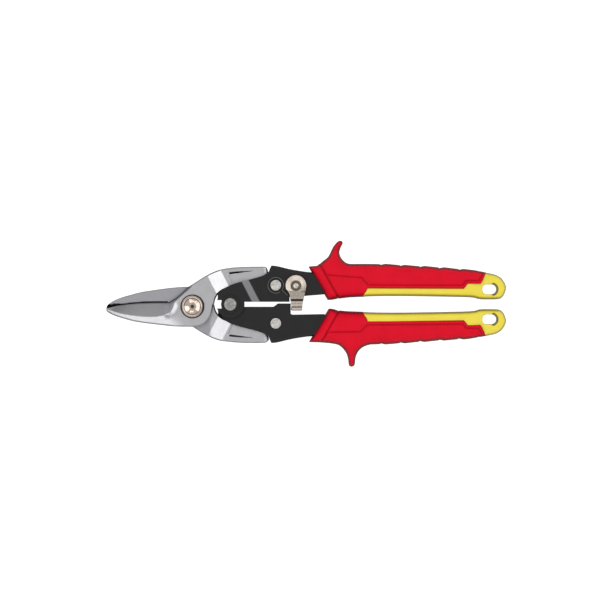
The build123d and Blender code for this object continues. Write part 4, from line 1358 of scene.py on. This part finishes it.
def make_stage(colours):
    make_floor(colours)
    make_sky()
    for softbox in SOFTBOXES:
        make_light(*softbox)
    bpy.context.scene.view_settings.view_transform = "Standard"


# ------------------------------------------------------------------ add-on


def size_property(name, description, size_mm):
    return FloatProperty(name=name, description=description, default=size_mm * MM, unit="LENGTH")


def colour_property(name, description, code):
    return FloatVectorProperty(
        name=name, description=description, subtype="COLOR", size=3, min=0, max=1, default=linear(code)
    )


class SnipsSizes(bpy.types.PropertyGroup):
    """Sizes of the detail that a user may change."""

    blade_edge: size_property("Blade edge", "Width of the chamfer on the blades' edges", 0.75)
    grip_crown: size_property("Grip crown", "Width over which a grip rounds off", 6.5)
    pad_rise: size_property("Pad rise", "Height of the raised pad on a grip", 0.7)
    groove_depth: size_property("Collar groove depth", "Depth of the groove behind a grip's collar", 0.6)
    groove_width: size_property("Collar groove width", "Half width of that groove", 0.5)
    scallop_pitch: size_property("Scallop pitch", "Length of one finger scallop", 12.7)
    scallop_depth: size_property("Scallop depth", "Depth of the step between two scallops", 0.9)


class SnipsColours(bpy.types.PropertyGroup):
    """Colours of the finishes."""

    steel: colour_property("Steel", "Blasted and polished blade steel", "#BBBBBE")
    ground: colour_property("Ground steel", "Surface-ground jaw faces", "#A2A2A6")
    nickel: colour_property("Nickel", "Nickel plating on stampings", "#CABFB3")
    turned: colour_property("Turned nickel", "Nickel plating on the pivot bolt", "#CBBBAE")
    rivet: colour_property("Rivet", "Zinc plating", "#D8D6D2")
    rivet_dark: colour_property("Dark rivet", "Oiled rivet steel", "#A8A7A4")
    black: colour_property("Black coat", "Electrocoat on the handles", "#121214")
    # painted highlight on the upper channel's lapped step
    step_highlight: colour_property("Step highlight", "Painted highlight on the lapped step of the upper channel", "#8C8C8E")
    red: colour_property("Red", "Grip cover", "#EA162E")
    yellow: colour_property("Yellow", "Grip core", "#FFEA4E")
    floor: colour_property("Floor", "Opal acrylic", "#9A9A9A")


MAKERS = {
    "blade": blade_steel,
    "turned": turned_nickel,
    "stamped": stamped_nickel,
    "rivet": lambda colours: rivet_steel("zinc_plated_steel_headed", colours.rivet),
    "rivet_dark": lambda colours: rivet_steel("oiled_steel_headed", colours.rivet_dark),
    "spring": spring_steel,
    "coated": coated_steel,
    "step_highlight": lambda colours: coated_steel(colours, "upper_handle_channel"),
    "red": red_rubber,
    "yellow": yellow_plastic,
}
FINISHES = {}


def finish(key):
    """Each finish is made once, when the first piece asks for it."""
    if key not in FINISHES:
        FINISHES[key] = MAKERS[key](bpy.context.scene.snips_colours)
    return FINISHES[key]


def dress(key, *nodes):
    """Gives CAD nodes a finish."""
    for name in nodes:
        mesh = frame["nodes"][name].data
        mesh.materials.clear()
        mesh.materials.append(finish(key))


class SNIPS_OT_camera(bpy.types.Operator):
    """Stand the camera over the tool"""

    bl_idname = "snips.camera"
    bl_label = "Camera"

    def execute(self, context):
        make_camera()
        return {"FINISHED"}


class SNIPS_OT_blades(bpy.types.Operator):
    """Build both blades"""

    bl_idname = "snips.blades"
    bl_label = "Blades"

    def execute(self, context):
        make_front_blade(context.scene.snips_sizes)
        make_rear_blade(context.scene.snips_sizes)
        return {"FINISHED"}


class SNIPS_OT_fasteners(bpy.types.Operator):
    """Build the bolt and the rivets, and finish the washers and the nut"""

    bl_idname = "snips.fasteners"
    bl_label = "Bolt and rivets"

    def execute(self, context):
        make_pivot_bolt()
        make_rivets()
        make_latch_rivet()
        dress("coated", "pivot_washer", "handle_washer_front", "handle_washer_rear")
        dress("stamped", "pivot_nut", "latch_washer")
        dress("spring", "spring_sleeve")
        return {"FINISHED"}


class SNIPS_OT_handles(bpy.types.Operator):
    """Finish both handle channels"""

    bl_idname = "snips.handles"
    bl_label = "Handles"

    def execute(self, context):
        # the upper channel gets a painted highlight on its lapped step
        dress("step_highlight", "upper_handle_channel")
        dress("coated", "lower_handle_channel")
        return {"FINISHED"}


class SNIPS_OT_latch(bpy.types.Operator):
    """Build the latch"""

    bl_idname = "snips.latch"
    bl_label = "Latch"

    def execute(self, context):
        make_latch()
        make_latch_finger()
        return {"FINISHED"}


class SNIPS_OT_springs(bpy.types.Operator):
    """Build both springs"""

    bl_idname = "snips.springs"
    bl_label = "Springs"

    def execute(self, context):
        make_torsion_spring()
        make_latch_spring()
        return {"FINISHED"}


class SNIPS_OT_grips(bpy.types.Operator):
    """Build the two-part grips"""

    bl_idname = "snips.grips"
    bl_label = "Grips"

    def execute(self, context):
        for side in (1, -1):
            make_cover(side, context.scene.snips_sizes)
            make_core(side)
        return {"FINISHED"}


class SNIPS_OT_stage(bpy.types.Operator):
    """Build the floor, the sky and the soft lights"""

    bl_idname = "snips.stage"
    bl_label = "Stage"

    def execute(self, context):
        make_stage(context.scene.snips_colours)
        return {"FINISHED"}


OPERATORS = (
    SNIPS_OT_camera,
    SNIPS_OT_stage,
    SNIPS_OT_blades,
    SNIPS_OT_fasteners,
    SNIPS_OT_handles,
    SNIPS_OT_latch,
    SNIPS_OT_springs,
    SNIPS_OT_grips,
)


class SNIPS_PT_panel(bpy.types.Panel):
    """Sizes, colours and the steps that build the snips"""

    bl_idname = "SNIPS_PT_panel"
    bl_label = "Aviation Snips"
    bl_space_type = "VIEW_3D"
    bl_region_type = "UI"
    bl_category = "Snips"

    def draw(self, context):
        layout = self.layout
        for group in (context.scene.snips_sizes, context.scene.snips_colours):
            for key in group.__annotations__:
                layout.prop(group, key)
        for operator in OPERATORS:
            layout.operator(operator.bl_idname)


CLASSES = (SnipsSizes, SnipsColours, *OPERATORS, SNIPS_PT_panel)


def register():
    for kind in CLASSES:
        bpy.utils.register_class(kind)
    bpy.types.Scene.snips_sizes = PointerProperty(type=SnipsSizes)
    bpy.types.Scene.snips_colours = PointerProperty(type=SnipsColours)


def unregister():
    del bpy.types.Scene.snips_sizes
    del bpy.types.Scene.snips_colours
    for kind in reversed(CLASSES):
        bpy.utils.unregister_class(kind)


def main():
    register()
    for operator in OPERATORS:
        group, name = operator.bl_idname.split(".")
        getattr(getattr(bpy.ops, group), name)()


if __name__ == "__main__":
    main()
